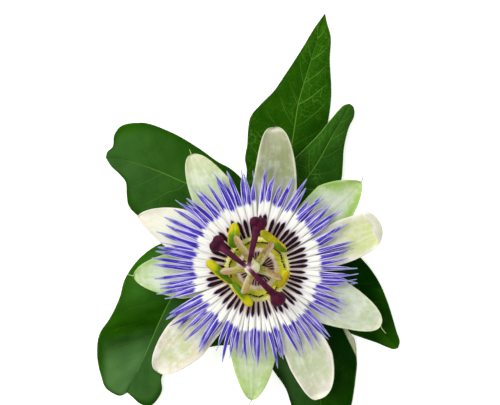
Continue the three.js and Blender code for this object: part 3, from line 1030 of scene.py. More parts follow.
@dataclass
class FlowerCup:
    """The bowl that everything springs from, its short inner filaments and its pleated lid.

    Both outlines are profiles of radius and height. Ribs, lobes, heads and pleats are counts
    round the whole circle.
    """

    outline: Sequence[Point] = (
        (0, 7.3), (3.2, 7.35), (6.6, 8.4), (8.8, 10.4), (9.6, 12.4), (10.9, 13.9), (12.4, 14.5),
        (12.7, 14.8), (11.6, 15.05), (10.8, 15.1), (10.5, 15.5), (9.7, 15.8), (8.6, 15.75),
        (7.6, 15.4), (7.0, 14.6), (6.75, 13.2), (6.5, 11.4), (5.2, 9.8), (0, 9.0),
    )
    stations: int = 120
    steps: int = 304
    ribs: int = 76
    rib_height: float = 0.07
    lobes: int = 10
    lobe_height: float = 0.18
    wall_top: float = 14.7
    heads: int = 84
    missing: float = 0.1
    head_radius: float = 8.65
    head_height: float = 16.85
    head_thickness: float = 0.26
    stalk_foot: float = 15.3
    stalk_length: float = 1.5
    stalk_thickness: float = 0.15
    lid_outline: Sequence[Point] = (
        (7.0, 14.1), (6.4, 14.5), (5.5, 15.1), (4.4, 15.6), (3.2, 16.0), (2.1, 16.0), (1.7, 15.4),
        (2.1, 15.45), (3.2, 15.5), (4.3, 15.1), (5.4, 14.6), (6.3, 13.9), (7.0, 14.1),
    )
    lid_stations: int = 56
    pleats: int = 34
    pleat_steps: int = 8
    pleat_height: float = 0.14
    seed: int = 11

    def build_cup(self) -> Piece:
        """A turned bowl. Its lip's height swells and sinks once a thread, ribs times round.

        Returns:
            The piece.
        """
        along = np.linspace(0, 1, self.stations)
        profile = Curve(self.outline).at(along)
        profile[[0, -1], 0] = 0
        turn = TURN * np.linspace(0, 1, self.steps + 1)
        outer = (along < along[np.argmax(profile[:, 0])])[:, None]
        on_lip = (smooth(7.4, 8.2, profile[:, 0]) * smooth(15.0, 15.4, profile[:, 1]))[:, None]
        on_wall = smooth(2.0, 6.0, profile[:, 0])[:, None] * outer * (1 - on_lip)
        height = on_lip * self.rib_height * np.cos(self.ribs * turn)
        height = height + on_wall * self.lobe_height * np.cos(self.lobes * turn)
        below = outer & (profile[:, 1:] < self.wall_top)
        surface = Surface.turned(profile, self.steps, height, below=below)
        return write_piece("calyx_cup", "body", surface, CupFinish("cup"))

    def build_short_filaments(self) -> Piece:
        """Short upright stalks in a ring, most with a black head that leans along the ring.

        The heads zigzag in and out and nearly touch, and a few are missing, so that they make
        a thin broken line.

        Returns:
            The piece.
        """
        draw = np.random.default_rng(self.seed)
        count = self.heads
        angle = TURN * (np.arange(count) + draw.uniform(-0.18, 0.18, count)) / count
        zigzag = np.abs((np.arange(count) % 8) - 4) / 4 - 0.5
        radius = self.head_radius + 0.5 * zigzag + draw.uniform(-0.05, 0.05, count)
        rise = np.linspace(0, 1, 6)
        lean = radius[:, None] + (1 - rise) * 0.25
        path = on_circle(angle[:, None], lean, self.stalk_foot + rise * self.stalk_length)
        thin = self.stalk_thickness * domed(rise, 0.12)
        stalks = Surface.tube(path, thin, thin, 6, (1, 0, 0))
        present = draw.random(count) > self.missing
        run = eased(9)
        half_span = (TURN / count) * 0.62 * 0.86
        swing = angle[present, None] + (run - 0.5) * 2 * half_span
        slope = np.gradient(radius)[present, None] * (run - 0.5) * 1.3
        path = on_circle(
            swing, radius[present, None] + slope, self.head_height + 0.06 * np.sin(TURN * run)
        )
        fat = self.head_thickness * domed(run, 0.3)
        heads = Surface.tube(path, fat, fat * 0.8, 8, UP, head=1.0)
        surface = Surface.joined([stalks, heads])
        finish = HeadsFinish("short filaments")
        return write_piece("short_corona", "heads", surface, finish)

    def build_lid(self) -> Piece:
        """The pleated lid: a turned band whose height follows a cosine, pleats times round.

        Returns:
            The piece.
        """
        profile = Curve(self.lid_outline).at(np.linspace(0, 1, self.lid_stations))
        profile[-1] = profile[0]
        steps = self.pleat_steps * self.pleats
        crest = np.cos(self.pleats * TURN * np.linspace(0, 1, steps + 1))
        depth = (smooth(6.6, 5.0, profile[:, 0]) * self.pleat_height)[:, None]
        surface = Surface.turned(profile, steps, depth * crest, ray=crest)
        finish = OperculumFinish("operculum")
        return write_piece("operculum", "lid", surface, finish)


# --- corona


@dataclass
class Corona:
    """Two rows of thread-like filaments that lie out over the petals.

    Crowding is how far, in radians, the threads are pushed round to the right-hand side, and
    fullness how much broader they are than the mean on the far side. Half_widths holds shares
    of a thread's length and the half width there. Tail is a thread's thin outer end.
    """

    threads: int = 48
    crowding: float = 0.1
    fullness: float = 0.12
    reach: float = 32.3
    root_heights: Sequence[float] = (15.65, 16.25)
    arch: float = 0.8
    half_widths: Sequence[Point] = (
        (0.0, 0.42), (0.08, 0.5), (0.2, 0.68), (0.3, 0.84), (0.44, 0.9), (0.6, 0.82), (0.76, 0.64),
        (0.9, 0.4), (1.0, 0.13),
    )
    tail_half_width: float = 0.19
    tail_change: float = 0.16
    half_thickness: float = 0.17
    stations: int = 48
    sides: int = 14
    seed: int = 5

    def row(self, index: int) -> Surface:
        """One row of flattened bands that run outwards, arch a little and wander.

        They crowd together on the right and are broadest at the far side, each by a sine of the
        angle. Each has its own direction, turn, reach and droop, drawn from a seed. Part-way
        along the blue it narrows to a thin tail, which runs on along one edge of the band and
        wanders aside by a sine of its run.

        Args:
            index: 0 for the lower row and 1 for the upper, whose threads are barred.

        Returns:
            All its threads.
        """
        draw = np.random.default_rng(self.seed + index)
        count = self.threads

        def varied(low: float, high: float) -> Array:
            """A random number for each thread."""
            return draw.uniform(low, high, count)[:, None]

        base = TURN * (np.arange(count)[:, None] + 0.5 * index + varied(-0.2, 0.2)) / count
        base = base - self.crowding * np.sin(base)
        swerve = np.radians(2.6 * np.sin(3 * base + 1.1) + varied(-3.0, 3.0))
        reach = self.reach + 1.0 * np.cos(base - 2.3) + varied(-2.4, 1.6)
        run = 1 - (1 - np.linspace(0, 1, self.stations)) ** 1.1
        band = stepped(self.half_widths, run) * varied(0.86, 1.16)
        band = band * (1 + self.fullness * np.sin(base - 0.6))
        narrows = varied(0.66, 1.2)
        share = smooth(1, 0, (run - narrows) / self.tail_change)
        tail = self.tail_half_width * varied(0.8, 1.4) * (1.15 - 0.5 * run)
        ends = domed(run, 0.02)
        wide = (tail + (band - tail) * share) * ends
        edge = np.where(varied(-1, 1) > 0, 1, -1) * (band - tail) * (1 - share) * 0.7
        wander = np.radians(varied(-1.6, 1.6)) * np.sin(varied(2.5, 5.5) * run + varied(0, 6))
        radius = ROOT_RADIUS - 0.2 + (reach - ROOT_RADIUS) * run
        angle = base + swerve * run**1.8 + wander * run**2 + edge / radius
        lift = self.arch * np.sin(math.pi * run) + varied(-0.5, 0.9) * run**2
        path = on_circle(angle, radius, self.root_heights[index] + lift)
        thick = np.minimum(self.half_thickness * ends, wide)
        tone = draw.random(count)[:, None, None]
        return Surface.tube(
            path, wide, thick, self.sides, UP,
            radius=radius - 0.7 * np.sin(base), share=run + varied(0, 0.08), band=tone * 2 - 1,
            tail=1 - share, barred=float(index),
            # lean: which side of each thread is painted in shade
            lean=np.where(varied(-1, 1) > 0, 1.0, -1.0)[..., None],
        )

    def build(self) -> list[Piece]:
        """Both rows, the upper one springing from inside the lower.

        Returns:
            The two pieces.
        """
        finish = CoronaFinish("corona threads")
        return [
            write_piece(node, "threads", self.row(index), finish)
            for index, node in enumerate(("corona_outer_filaments", "corona_inner_filaments"))
        ]


# --- sepals and petals


@dataclass(frozen=True)
class Roll:
    """A bowed line across a petal, past which it rolls up, and the way it heads outwards.

    Radius and angle are those of the arc that it rolls round. The line falls back on both
    sides of its place by the bow times the square of the way aside.
    """

    place: Point
    heading: Point
    radius: float
    angle: float
    bow: float


@dataclass(frozen=True)
class Tepal:
    """One sepal or petal: where it points, the form of its outline and how it is curved.

    Root_angle is in degrees round the cup, and the middle line runs from there to the tip,
    bowed to the left. Half is the greatest half width, at the share widest of the length;
    skew moves some of it to the left, and a larger blunt rounds the tip. Hollow is how far
    the margins stand up. Keel is one on a sepal, whose awn is a list of steps from the tip.
    """

    node: str
    root_angle: float
    tip: Point
    half: float
    bow: float
    skew: float
    blunt: float
    widest: float
    finish: TepalFinish
    hollow: float = 0.6
    keel: float = 0.0
    awn: Sequence[Point] = ()
    roll: Roll | None = None
    seed: int = 1
    root_half_width: float = 3.6
    thickness: float = 0.5
    keel_height: float = 0.35
    groove_depth: float = 0.03
    swell: float = 0.22
    frill: float = 0.24
    awn_radius: float = 0.22
    rows: int = 88
    columns: int = 57

    @property
    def root_height(self) -> float:
        """Sepals spring from the cup lower than petals."""
        return 13.4 if self.keel else 14.4

    def middle_line(self, along: Array) -> Array:
        """A curve of two straight arms blended, from the cup to the tip, bowed to the left.

        Args:
            along: Shares of the length.

        Returns:
            Points of x and y.
        """
        start = on_circle(math.radians(self.root_angle), ROOT_RADIUS, 0.0)[:2]
        end = np.array(self.tip[:2])
        bend = (start + end) / 2 + 2 * self.bow * unit(left_of(end - start))
        x = along[:, None]
        return (1 - x) ** 2 * start + 2 * x * (1 - x) * bend + x**2 * end

    def half_width(self, along: Array) -> Array:
        """Widest part-way, narrowing to the root by a power and rounding off to the tip.

        Args:
            along: Shares of the length.

        Returns:
            Millimetres.
        """
        past = np.clip((along - self.widest) / (1 - self.widest), 0, 1)
        before = np.clip((self.widest - along) / self.widest, 0, 1)
        outer = np.clip(1 - past**1.25, 0, 1) ** (1 / self.blunt)
        inner = 1 - (1 - self.root_half_width / self.half) * before**1.6
        return self.half * np.where(along < self.widest, inner, outer)

    def height(self, flat: Array, run: Array, across: Array) -> Array:
        """The blade's height before it rolls.

        It runs from the root's to the tip's by the square of the run, plus a hollow that lifts
        the margins by the square of the way across, shallow lengthwise grooves, an uneven
        swell and a wavy margin.

        Args:
            flat: The blade's points seen from above.
            run: The share of the length at each row.
            across: From -1 at one margin to 1 at the other.

        Returns:
            The height of each point.
        """
        grooves = np.cos(TURN * 3.5 * across + 1.2 * self.seed) * smooth(0.0, 0.3, run)
        frill = np.sin(TURN * (3.3 * run + 0.17 * self.seed)) * np.abs(across) ** 5
        return sum((
            self.root_height + (self.tip[2] - self.root_height) * run**2,
            self.hollow * across**2 * np.sin(math.pi * run) ** 0.8,
            self.hollow * 1.4 * smooth(0.72, 1.0, run) * (0.3 + across**2),
            self.groove_depth * grooves * (1 - across**2) * smooth(1.0, 0.7, run),
            self.swell * ripple(flat, 11.0, self.seed) * smooth(0.1, 0.5, run),
            self.frill * frill * smooth(0.2, 0.6, run),
        ))

    def blade(self) -> Surface:
        """The blade's sheet, with its outer end rolled up and inwards if it has a roll.

        Returns:
            The closed sheet.
        """
        along = 1 - (1 - np.linspace(0, 1, self.rows)) ** 2.1
        across = np.linspace(-1, 1, self.columns)
        line = self.middle_line(along)
        leftward = left_of(unit(np.gradient(line, axis=0)))
        side = np.where(across > 0, 1 + self.skew, 1 - self.skew)
        offset = self.half_width(along)[:, None] * (across * side)
        flat = line[:, None, :] + leftward[:, None, :] * offset[..., None]
        run = along[:, None]
        middle = raised(flat, self.height(flat, run, across))
        if self.roll:
            middle = self.curled(middle, self.roll)
        ridge = self.keel_height * self.keel * bell(across, 0.14)
        thickness = (self.thickness + ridge) * blade_rim(run, across)
        return Surface.sheet(middle, thickness, run, (across + 1) / 2)

    @staticmethod
    def curled(middle: Array, roll: Roll) -> Array:
        """Rolls up what lies past a line: round an arc of the roll's radius, then straight on.

        Args:
            middle: The blade's middle surface.
            roll: Where and how it rolls up.

        Returns:
            The surface, rolled up.
        """
        heading = unit(np.array(roll.heading))
        away = middle[..., :2] - np.array(roll.place)
        aside = away @ left_of(heading)
        past = np.maximum(away @ heading + roll.bow * aside**2, 0)
        turn = np.minimum(past / roll.radius, roll.angle)
        over = past - turn * roll.radius
        pull = roll.radius * np.sin(turn) + over * np.cos(turn) - past
        rise = roll.radius * (1 - np.cos(turn)) + over * np.sin(turn)
        return middle + raised(pull[..., None] * heading, rise)

    def thread(self) -> Surface:
        """The awn: a thin tapering thread from the keel that runs on past the tip.

        Returns:
            The closed thread.
        """
        foot = np.append(self.middle_line(np.array([0.9]))[0], self.tip[2] + 0.15)
        points = [foot, np.array(self.tip) + (0, 0, -0.3)]
        points += [np.array(self.tip) + step for step in self.awn]
        run = np.linspace(0, 1, 24)
        radius = (self.awn_radius - 0.12 * run) * domed(run, 0.05)
        return Surface.tube(Curve(np.array(points)).at(run), radius, radius, 8, UP, awn=1.0)

    def build(self) -> Piece:
        """The blade, with its awn if it has one.

        Returns:
            The piece.
        """
        parts = [self.blade()] + ([self.thread()] if self.awn else [])
        return write_piece(self.node, "blade", Surface.joined(parts), self.finish)


# --- stamens, ovary and styles


@dataclass(frozen=True)
class Anther:
    """One pollen sac: its middle, the way it lies, its length and how ripe it shows.

    Twist is how far, in radians, its split sides are rolled round it. Taper is the share of
    the width that is left at its two ends. Gold is how golden its back is at both ends, and
    the share of the length where that changes.
    """

    centre: Point
    along: Point
    length: float
    half_width: float = 1.5
    ripe: float = 0.0
    twist: float = 0.0
    taper: tuple[float, float] = (1.0, 1.0)
    gold: tuple[float, float, float] = (0.3, 0.3, 0.5)
    seed: int = 1

    @property
    def half_thickness(self) -> float:
        """The sac is flatter than it is wide."""
        return 0.7 * self.half_width


@dataclass
class Stamens:
    """Five flattened filaments spread from the column's top, each with an anther across its end.

    A strap is a filament's flat body; its half widths and half thicknesses are given at shares
    of its length.
    """

    column_path: Sequence[Point] = ((0, 0, 9.2), (-0.1, 0.2, 16.0), (-0.66, 0.87, 22.2))
    column_radius: float = 1.5
    column_stations: int = 40
    column_sides: int = 40
    root_height: float = 21.5
    strap_widths: Sequence[Point] = (
        (0, 1.4), (0.25, 1.3), (0.6, 1.08), (0.84, 1.14), (0.94, 0.84), (1, 0.4),
    )
    strap_thicknesses: Sequence[Point] = ((0, 0.7), (0.3, 0.42), (1, 0.36))
    strap_stations: int = 34
    strap_sides: int = 20
    anthers: Sequence[Anther] = (
        Anther(
            (-7.3, 10.9, 21.4), (-0.05, -0.98, 0.1), 8.2, 1.95, 0.02, 0.0, (0.5, 0.9),
            (0.9, 0.2, 0.4), 1,
        ),
        Anther(
            (5.2, 9.0, 21.7), (0.78, -0.63, 0.0), 10.4, 1.4, 0.0, 0.3, (0.85, 0.8),
            (0.8, 0.1, 0.56), 2,
        ),
        Anther(
            (8.1, -2.8, 21.4), (-0.42, -0.72, -0.56), 7.6, 1.5, 0.3, 0.9, (0.8, 0.8),
            (1.0, 0.6, 0.6), 3,
        ),
        Anther(
            (-4.7, -7.8, 21.4), (0.64, -0.77, 0.06), 9.6, 1.4, 0.0, -0.22, (0.8, 1.0),
            (0.1, 1.0, 0.72), 4,
        ),
        Anther(
            (-11.9, -0.8, 21.4), (0.73, -0.68, 0.0), 10.8, 1.45, 0.0, -0.2, (1.0, 0.6),
            (1.0, 0.0, 0.34), 5,
        ),
    )
    anther_stations: int = 64
    anther_sides: int = 44
    grain_height: float = 0.07
    grain_seed: int = 40

    def build_column(self) -> Piece:
        """The column: a tube that flares a little at both ends, with five soft ridges.

        Returns:
            The piece.
        """
        run = np.linspace(0, 1, self.column_stations)
        turn = np.linspace(0, 1, self.column_sides + 1)
        flare = self.column_radius * (0.86 + 0.22 * (2 * run - 1) ** 4) * domed(run, 0.03)
        ridged = flare[:, None] * (1 + 0.05 * np.cos(5 * TURN * turn))
        path = Curve(self.column_path).at(run)
        surface = Surface.tube(path, ridged, ridged, self.column_sides, (0, 1, 0))
        finish = SpeckledFinish(
            "column", tint(214, 216, 158), tint(176, 192, 78), tint(120, 60, 84), 0.45
        )
        return write_piece("androgynophore", "body", surface, finish)

    def filament(self, anther: Anther) -> Surface:
        """A strap from inside the column's top that arches out onto its anther's back.

        Its edges waver by a sine of the run, and it has a groove along its back.

        Args:
            anther: The sac that it carries.

        Returns:
            The closed strap.
        """
        root = np.append(Curve(self.column_path).at(np.array([0.99]))[0][:2], self.root_height)
        end = np.array(anther.centre) + (0, 0, anther.half_thickness + 0.16)
        outward = unit((end - root) * (1, 1, 0))
        points = [root + outward * 0.5, root + outward * 2.2 + (0, 0, 0.35)]
        points += [root + (end - root) * 0.62 + (0, 0, 0.9), end - outward * 0.2]
        run = eased(self.strap_stations)
        path = Curve(np.array(points)).at(run)
        turn = TURN * np.linspace(0, 1, self.strap_sides + 1)
        wide = stepped(self.strap_widths, run) * domed(run, 0.05)
        thick = stepped(self.strap_thicknesses, run) * domed(run, 0.05)
        groove = 1 - 0.34 * np.clip(np.sin(turn), 0, 1) ** 4
        waver = 0.09 * np.sin(11 * run[:, None] + 1.7 * anther.seed + 1.3 * np.cos(turn))
        edges, backs = wide[:, None] * (1 + waver), thick[:, None] * groove
        return Surface.tube(path, edges, backs, self.strap_sides, UP)

    def anther_body(self, anther: Anther) -> Surface:
        """A two-lobed capsule, flattened, with its split sides grainy.

        Its section is an ellipse pinched by a groove above and below, and its ends sag. The
        grain is a random height at each point of the sides, where the mark "pollen" is one.

        Args:
            anther: The sac's place and sizes.

        Returns:
            The closed sac.
        """
        draw = np.random.default_rng(self.grain_seed + anther.seed)
        run = eased(self.anther_stations)
        turn = TURN * np.linspace(0, 1, self.anther_sides + 1)
        past = (run - 0.5)[:, None] * 2
        ahead = unit(np.array(anther.along))
        reach = (run - 0.5)[:, None] * anther.length
        path = np.array(anther.centre) + ahead * reach - np.array(UP) * 0.5 * past**2
        tilt = turn + anther.twist
        pinch = 1 - 0.2 * bell(np.cos(turn), 0.22)
        lean = np.where(past < 0, anther.taper[0], anther.taper[1])
        ends = domed(run, 0.2)[:, None] * (1 - (1 - lean) * np.abs(past) ** 1.5)
        pollen = smooth(0.45, 0.76, np.abs(np.cos(tilt)) - 0.35 * np.sin(tilt) + 0.25 * (1 - ends))
        grain = draw.uniform(-1, 1, (self.anther_stations, self.anther_sides + 1))
        grain[:, -1] = grain[:, 0]
        size = pinch * ends * (1 + self.grain_height * grain * pollen * ends)
        near, far, change = anther.gold
        gold = near + (far - near) * smooth(change - 0.34, change + 0.34, run)
        wide, thick = anther.half_width * size, anther.half_thickness * size
        return Surface.tube(path, wide, thick, self.anther_sides, UP, pollen=pollen, gold=gold)

    def build(self) -> list[Piece]:
        """The column, then each filament and anther.

        Returns:
            The pieces.
        """
        pieces = [self.build_column()]
        finish = SpeckledFinish(
            "stamen filaments", tint(176, 180, 50), tint(178, 140, 84), tint(142, 72, 84), 0.8, 0.54,
            painted_light_flank=0.4,
        )
        for number, anther in enumerate(self.anthers, start=1):
            node, strap = f"stamen_filament_{number}", self.filament(anther)
            pieces.append(write_piece(node, "strap", strap, finish))
            node, sac = f"anther_{number}", self.anther_body(anther)
            dress = AntherFinish(f"anther {number}", ripe=anther.ripe)
            pieces.append(write_piece(node, "sac", sac, dress))
        return pieces


def lobed_blob(centre: Point, lobes: Sequence[tuple[Point, float]], blend: float) -> Surface:
    """Several balls melted into one, seen from a common centre.

    In each direction the radius is a soft maximum of the far side of each ball: the logarithm
    of the sum of exponentials, over blend millimetres.

    Args:
        centre: The common centre, inside every ball.
        lobes: Each ball's own middle, from the centre, and its radius.
        blend: How softly the balls melt together.

    Returns:
        The closed surface, whose map is latitude from the top and longitude.
    """
    rings, sides = 61, 80
    latitude = np.linspace(0, 1, rings)[:, None]
    turn = np.linspace(0, 1, sides + 1)
    ring = on_circle(TURN * turn, np.sin(math.pi * latitude), np.cos(math.pi * latitude))
    far = []
    for middle, radius in lobes:
        toward = ring @ np.array(middle, float)
        inside = radius**2 - float(np.dot(middle, middle))
        far.append(toward + np.sqrt(np.maximum(toward**2 + inside, 0)))
    size = blend * np.log(np.exp(np.array(far) / blend).sum(axis=0))
    points = np.array(centre) + ring * size[..., None]
    return Surface.grid(points, latitude, turn)


@dataclass(frozen=True)
class Stigma:
    """One stigma: its middle, and the balls that make its lobes."""

    centre: Point
    lobes: Sequence[tuple[Point, float]]


@dataclass
class Pistil:
    """The ovary on top of the column, with three styles that arch out to broad stigmas.

    The ovary leans the way of its own vector. The styles leave it at the junction, and their
    radius is given at shares of their length.
    """

    ovary_centre: Point = (-1.6, 0.9, 25.2)
    ovary_lean: Point = (-2.0, 0.1, 6.4)
    ovary_radius: float = 2.35
    ovary_half_length: float = 3.4
    ovary_rings: int = 49
    ovary_sides: int = 72
    junction: Point = (-2.86, 0.9, 28.7)
    style_radii: Sequence[Point] = ((0, 0.55), (0.15, 0.68), (0.5, 0.92), (0.8, 1.16), (1, 1.7))
    style_stations: int = 44
    style_sides: int = 24
    stigmas: Sequence[Stigma] = (
        Stigma(
            (0.3, 15.0, 27.1),
            (((-0.95, 0.2, 0.1), 1.7), ((1.2, -0.1, 0.0), 1.65), ((0.1, -1.2, -0.1), 1.5)),
        ),
        Stigma(
            (-12.7, 8.6, 27.1),
            (((0.55, 0.8, 0.1), 1.7), ((-0.6, -1.05, 0.0), 1.65), ((0.9, -0.9, -0.1), 1.6)),
        ),
        Stigma(
            (6.5, -8.7, 27.1),
            (((0.45, -0.1, 0.2), 2.0), ((-0.6, -0.9, 0.0), 1.6), ((-0.9, 0.8, -0.1), 1.5)),
        ),
    )

    def build_ovary(self) -> Piece:
        """An egg with three faint grooves, under a small knob where the styles meet.

        Returns:
            The piece.
        """
        latitude = np.linspace(0, 1, self.ovary_rings)[:, None]
        polar = math.pi * latitude
        turn = np.linspace(0, 1, self.ovary_sides + 1)
        up = unit(np.array(self.ovary_lean))
        aside = unit(np.cross(up, (0.0, 1.0, 0.0)))
        front = np.cross(up, aside)
        girth = self.ovary_radius * np.sin(polar) ** 0.86
        girth = girth * (1 - 0.05 * np.abs(np.cos(1.5 * TURN * turn)) ** 6)
        height = self.ovary_half_length * np.cos(polar) * np.ones_like(turn)
        points = (
            np.array(self.ovary_centre)
            + aside * (girth * np.cos(TURN * turn))[..., None]
            + front * (girth * np.sin(TURN * turn))[..., None]
            + up * height[..., None]
        )
        egg = Surface.grid(points, 1 - latitude, turn)
        knob = lobed_blob(self.junction, (((0, 0, -0.2), 0.75), ((-0.3, 0.2, -0.2), 0.7)), 0.2)
        knob.uv[:, 0] = 1.0
        finish = SpeckledFinish(
            "ovary", tint(240, 248, 182), tint(228, 186, 202), tint(246, 250, 220), 0.4, 0.8
        )
        return write_piece("ovary", "body", Surface.joined([egg, knob]), finish)

    def style(self, stigma: Stigma) -> Surface:
        """A round arm that thickens outwards and has one shallow groove along its back.

        Args:
            stigma: The stigma that it carries.

        Returns:
            The closed arm.
        """
        start, end = np.array(self.junction), np.array(stigma.centre)
        middle = start + (end - start) * 0.5 + (0, 0, 1.0)
        run = eased(self.style_stations)
        path = Curve(np.array([start, middle, end])).at(run)
        turn = TURN * np.linspace(0, 1, self.style_sides + 1)
        wide = stepped(self.style_radii, run) * domed(run, 0.05)
        groove = 1 - 0.16 * bell(turn - TURN / 4, 0.22)
        return Surface.tube(path, wide, wide[:, None] * 0.86 * groove, self.style_sides, UP)

    def build(self) -> list[Piece]:
        """The ovary, then each style and stigma.

        Returns:
            The pieces.
        """
        pieces = [self.build_ovary()]
        for number, stigma in enumerate(self.stigmas, start=1):
            node, arm = f"style_{number}", self.style(stigma)
            finish = MaroonFinish(f"style {number}", pale_root=0.75)
            pieces.append(write_piece(node, "arm", arm, finish))
            node, pad = f"stigma_{number}", lobed_blob(stigma.centre, stigma.lobes, 0.4)
            finish = MaroonFinish(f"stigma {number}", tint(50, 3, 32), tint(88, 10, 44), grain=2400.0)
            pieces.append(write_piece(node, "pad", pad, finish))
        return pieces


# --- stalks and bracts


@dataclass
class Stalks:
    """The piece of vine, the flower's own stalk, or peduncle, and three bracts under the cup.

    Bract angles are in degrees round the flower, and bracts run out from start to reach.
    """

    stem_path: Sequence[Point] = (
        (-24, 10.2, 1.5), (-18, 11.3, 1.5), (-12, 11.9, 1.5), (-2, 11.8, 1.5), (5.5, 12.0, 1.5)
    )
    stem_radius: float = 1.3
    peduncle_path: Sequence[Point] = (
        (0, 0, 7.5), (0, 0.3, 6.3), (-0.7, 3.4, 5.1), (-2.6, 7.6, 4.4), (-5.8, 10.6, 3.0)
    )
    peduncle_radius: float = 1.15
    stations: int = 120
    sides: int = 36
    ridges: int = 6
    bract_angles: Sequence[float] = (75, 195, 315)
    bract_start: float = 3.0
    bract_reach: float = 21.0
    bract_half_width: float = 6.4
    bract_height: float = 6.6
    bract_thickness: float = 0.35
    bract_rib: float = 0.35
    bract_rows: int = 50
    bract_columns: int = 37

    def ridged(self, points: Sequence[Point], radius: float, knots: Sequence[float]) -> Surface:
        """A tube with six ridges, swollen at its knots and flat at its cut ends.

        Args:
            points: What it runs through.
            radius: Its radius away from knots.
            knots: Where it is swollen, as shares of its length.

        Returns:
            The closed tube.
        """
        cut = 0.003
        middle = np.linspace(cut, 1 - cut, self.stations)
        run = np.concatenate([[0, cut / 2], middle, [1 - cut / 2, 1]])
        turn = TURN * np.linspace(0, 1, self.sides + 1)
        swell = 1 + 0.14 * bell(run[:, None] - knots, 0.03).sum(axis=1)
        size = radius * swell * np.clip(np.minimum(run, 1 - run) / cut, 0, 1) ** 0.3
        ridge = 1 + 0.055 * np.cos(self.ridges * turn + 3.0 * run[:, None])
        size = size[:, None] * ridge
        return Surface.tube(Curve(points).at(run), size, size, self.sides, UP)

    def build_bract(self, number: int, angle: float) -> Piece:
        """A broad heart-like leaf, hollow along its middle, with an uneven swell.

        Args:
            number: Which bract it is.
            angle: Degrees round the flower.

        Returns:
            The piece.
        """
        along = 1 - (1 - np.linspace(0, 1, self.bract_rows)) ** 1.8
        across = np.linspace(-1, 1, self.bract_columns)
        run = along[:, None]
        narrowing = np.sin(math.pi * np.clip(0.13 + 0.87 * run**1.1, 0, 1)) ** 0.72
        half = self.bract_half_width * narrowing
        distance = self.bract_start + (self.bract_reach - self.bract_start) * run
        heading = math.radians(angle)
        ahead = np.array([math.cos(heading), math.sin(heading)])
        flat = distance[..., None] * ahead + (across * half)[..., None] * left_of(ahead)
        height = self.bract_height + 1.5 * run + 0.5 * across**2 * np.sin(math.pi * run)
        height = height + 0.2 * ripple(flat, 9.0, number) * run
        thickness = self.bract_thickness + self.bract_rib * bell(across, 0.1)
        thickness = thickness * blade_rim(run, across)
        surface = Surface.sheet(raised(flat, height), thickness, run, (across + 1) / 2)
        finish = TepalFinish(
            f"bract {number}", tint(176, 196, 120), tint(140, 170, 84), tint(150, 176, 90),
            tint(150, 178, 96), 0.5, 0.8,
        )
        return write_piece(f"bract_{number}", "blade", surface, finish)

    def build(self) -> list[Piece]:
        """The stem, the stalk and the bracts.

        Returns:
            The pieces.
        """
        finish = SpeckledFinish(
            "stems", tint(104, 136, 58), tint(124, 152, 72), tint(150, 130, 84), 0.3, stretch=2.0
        )
        stem = self.ridged(self.stem_path, self.stem_radius, (0.32, 0.93))
        stalk = self.ridged(self.peduncle_path, self.peduncle_radius, (0.02,))
        pieces = [
            write_piece("vine_stem", "body", stem, finish),
            write_piece("peduncle", "body", stalk, finish),
        ]
        bracts = enumerate(self.bract_angles, start=1)
        return pieces + [self.build_bract(number, angle) for number, angle in bracts]


# --- leaves


@dataclass(frozen=True)
class HalfLobe:
    """One side of a lobe, seen from above.

    The outline runs from the blade's base to the tip, or from the notch to the tip where the
    half is joined to its neighbour as far as the notch. Fall is the power by which the edge
    goes from the notch's or base's height to the tip's, lift what is added half-way, and
    crown how far the blade bulges between midrib and edge. Tone, from dark to fresh green,
    partly the leaf's own green and partly painted light and shade on a half that faces the
    lamp or turns away from it, and the painted sheen, which stands in for the lamp's
    reflection, are given at even steps from base to tip. Folds is the height of the creases
    that cross the half past its middle. What lies to the left of the two points of the dry
    line has dried and curls up.
    """

    outline: Sequence[Point]
    joined: bool = False
    notch_height: float = 2.0
    fall: float = 1.0
    lift: float = 0.0
    crown: float = 0.5
    tone: Point = (0.5, 0.5, 0.5)
    bloom: Point = (0.0, 0.0, 0.0)
    pale_edge: float = 0.0
    veined: float = 1.0
    folds: float = 0.0
    dry_line: Sequence[Point] = ()


@dataclass(frozen=True)
class Lobe:
    """A lobe: its midrib from base to tip, its halves and how many side veins each has."""

    midrib: Sequence[Point]
    left: HalfLobe
    right: HalfLobe
    veins: float = 9.0


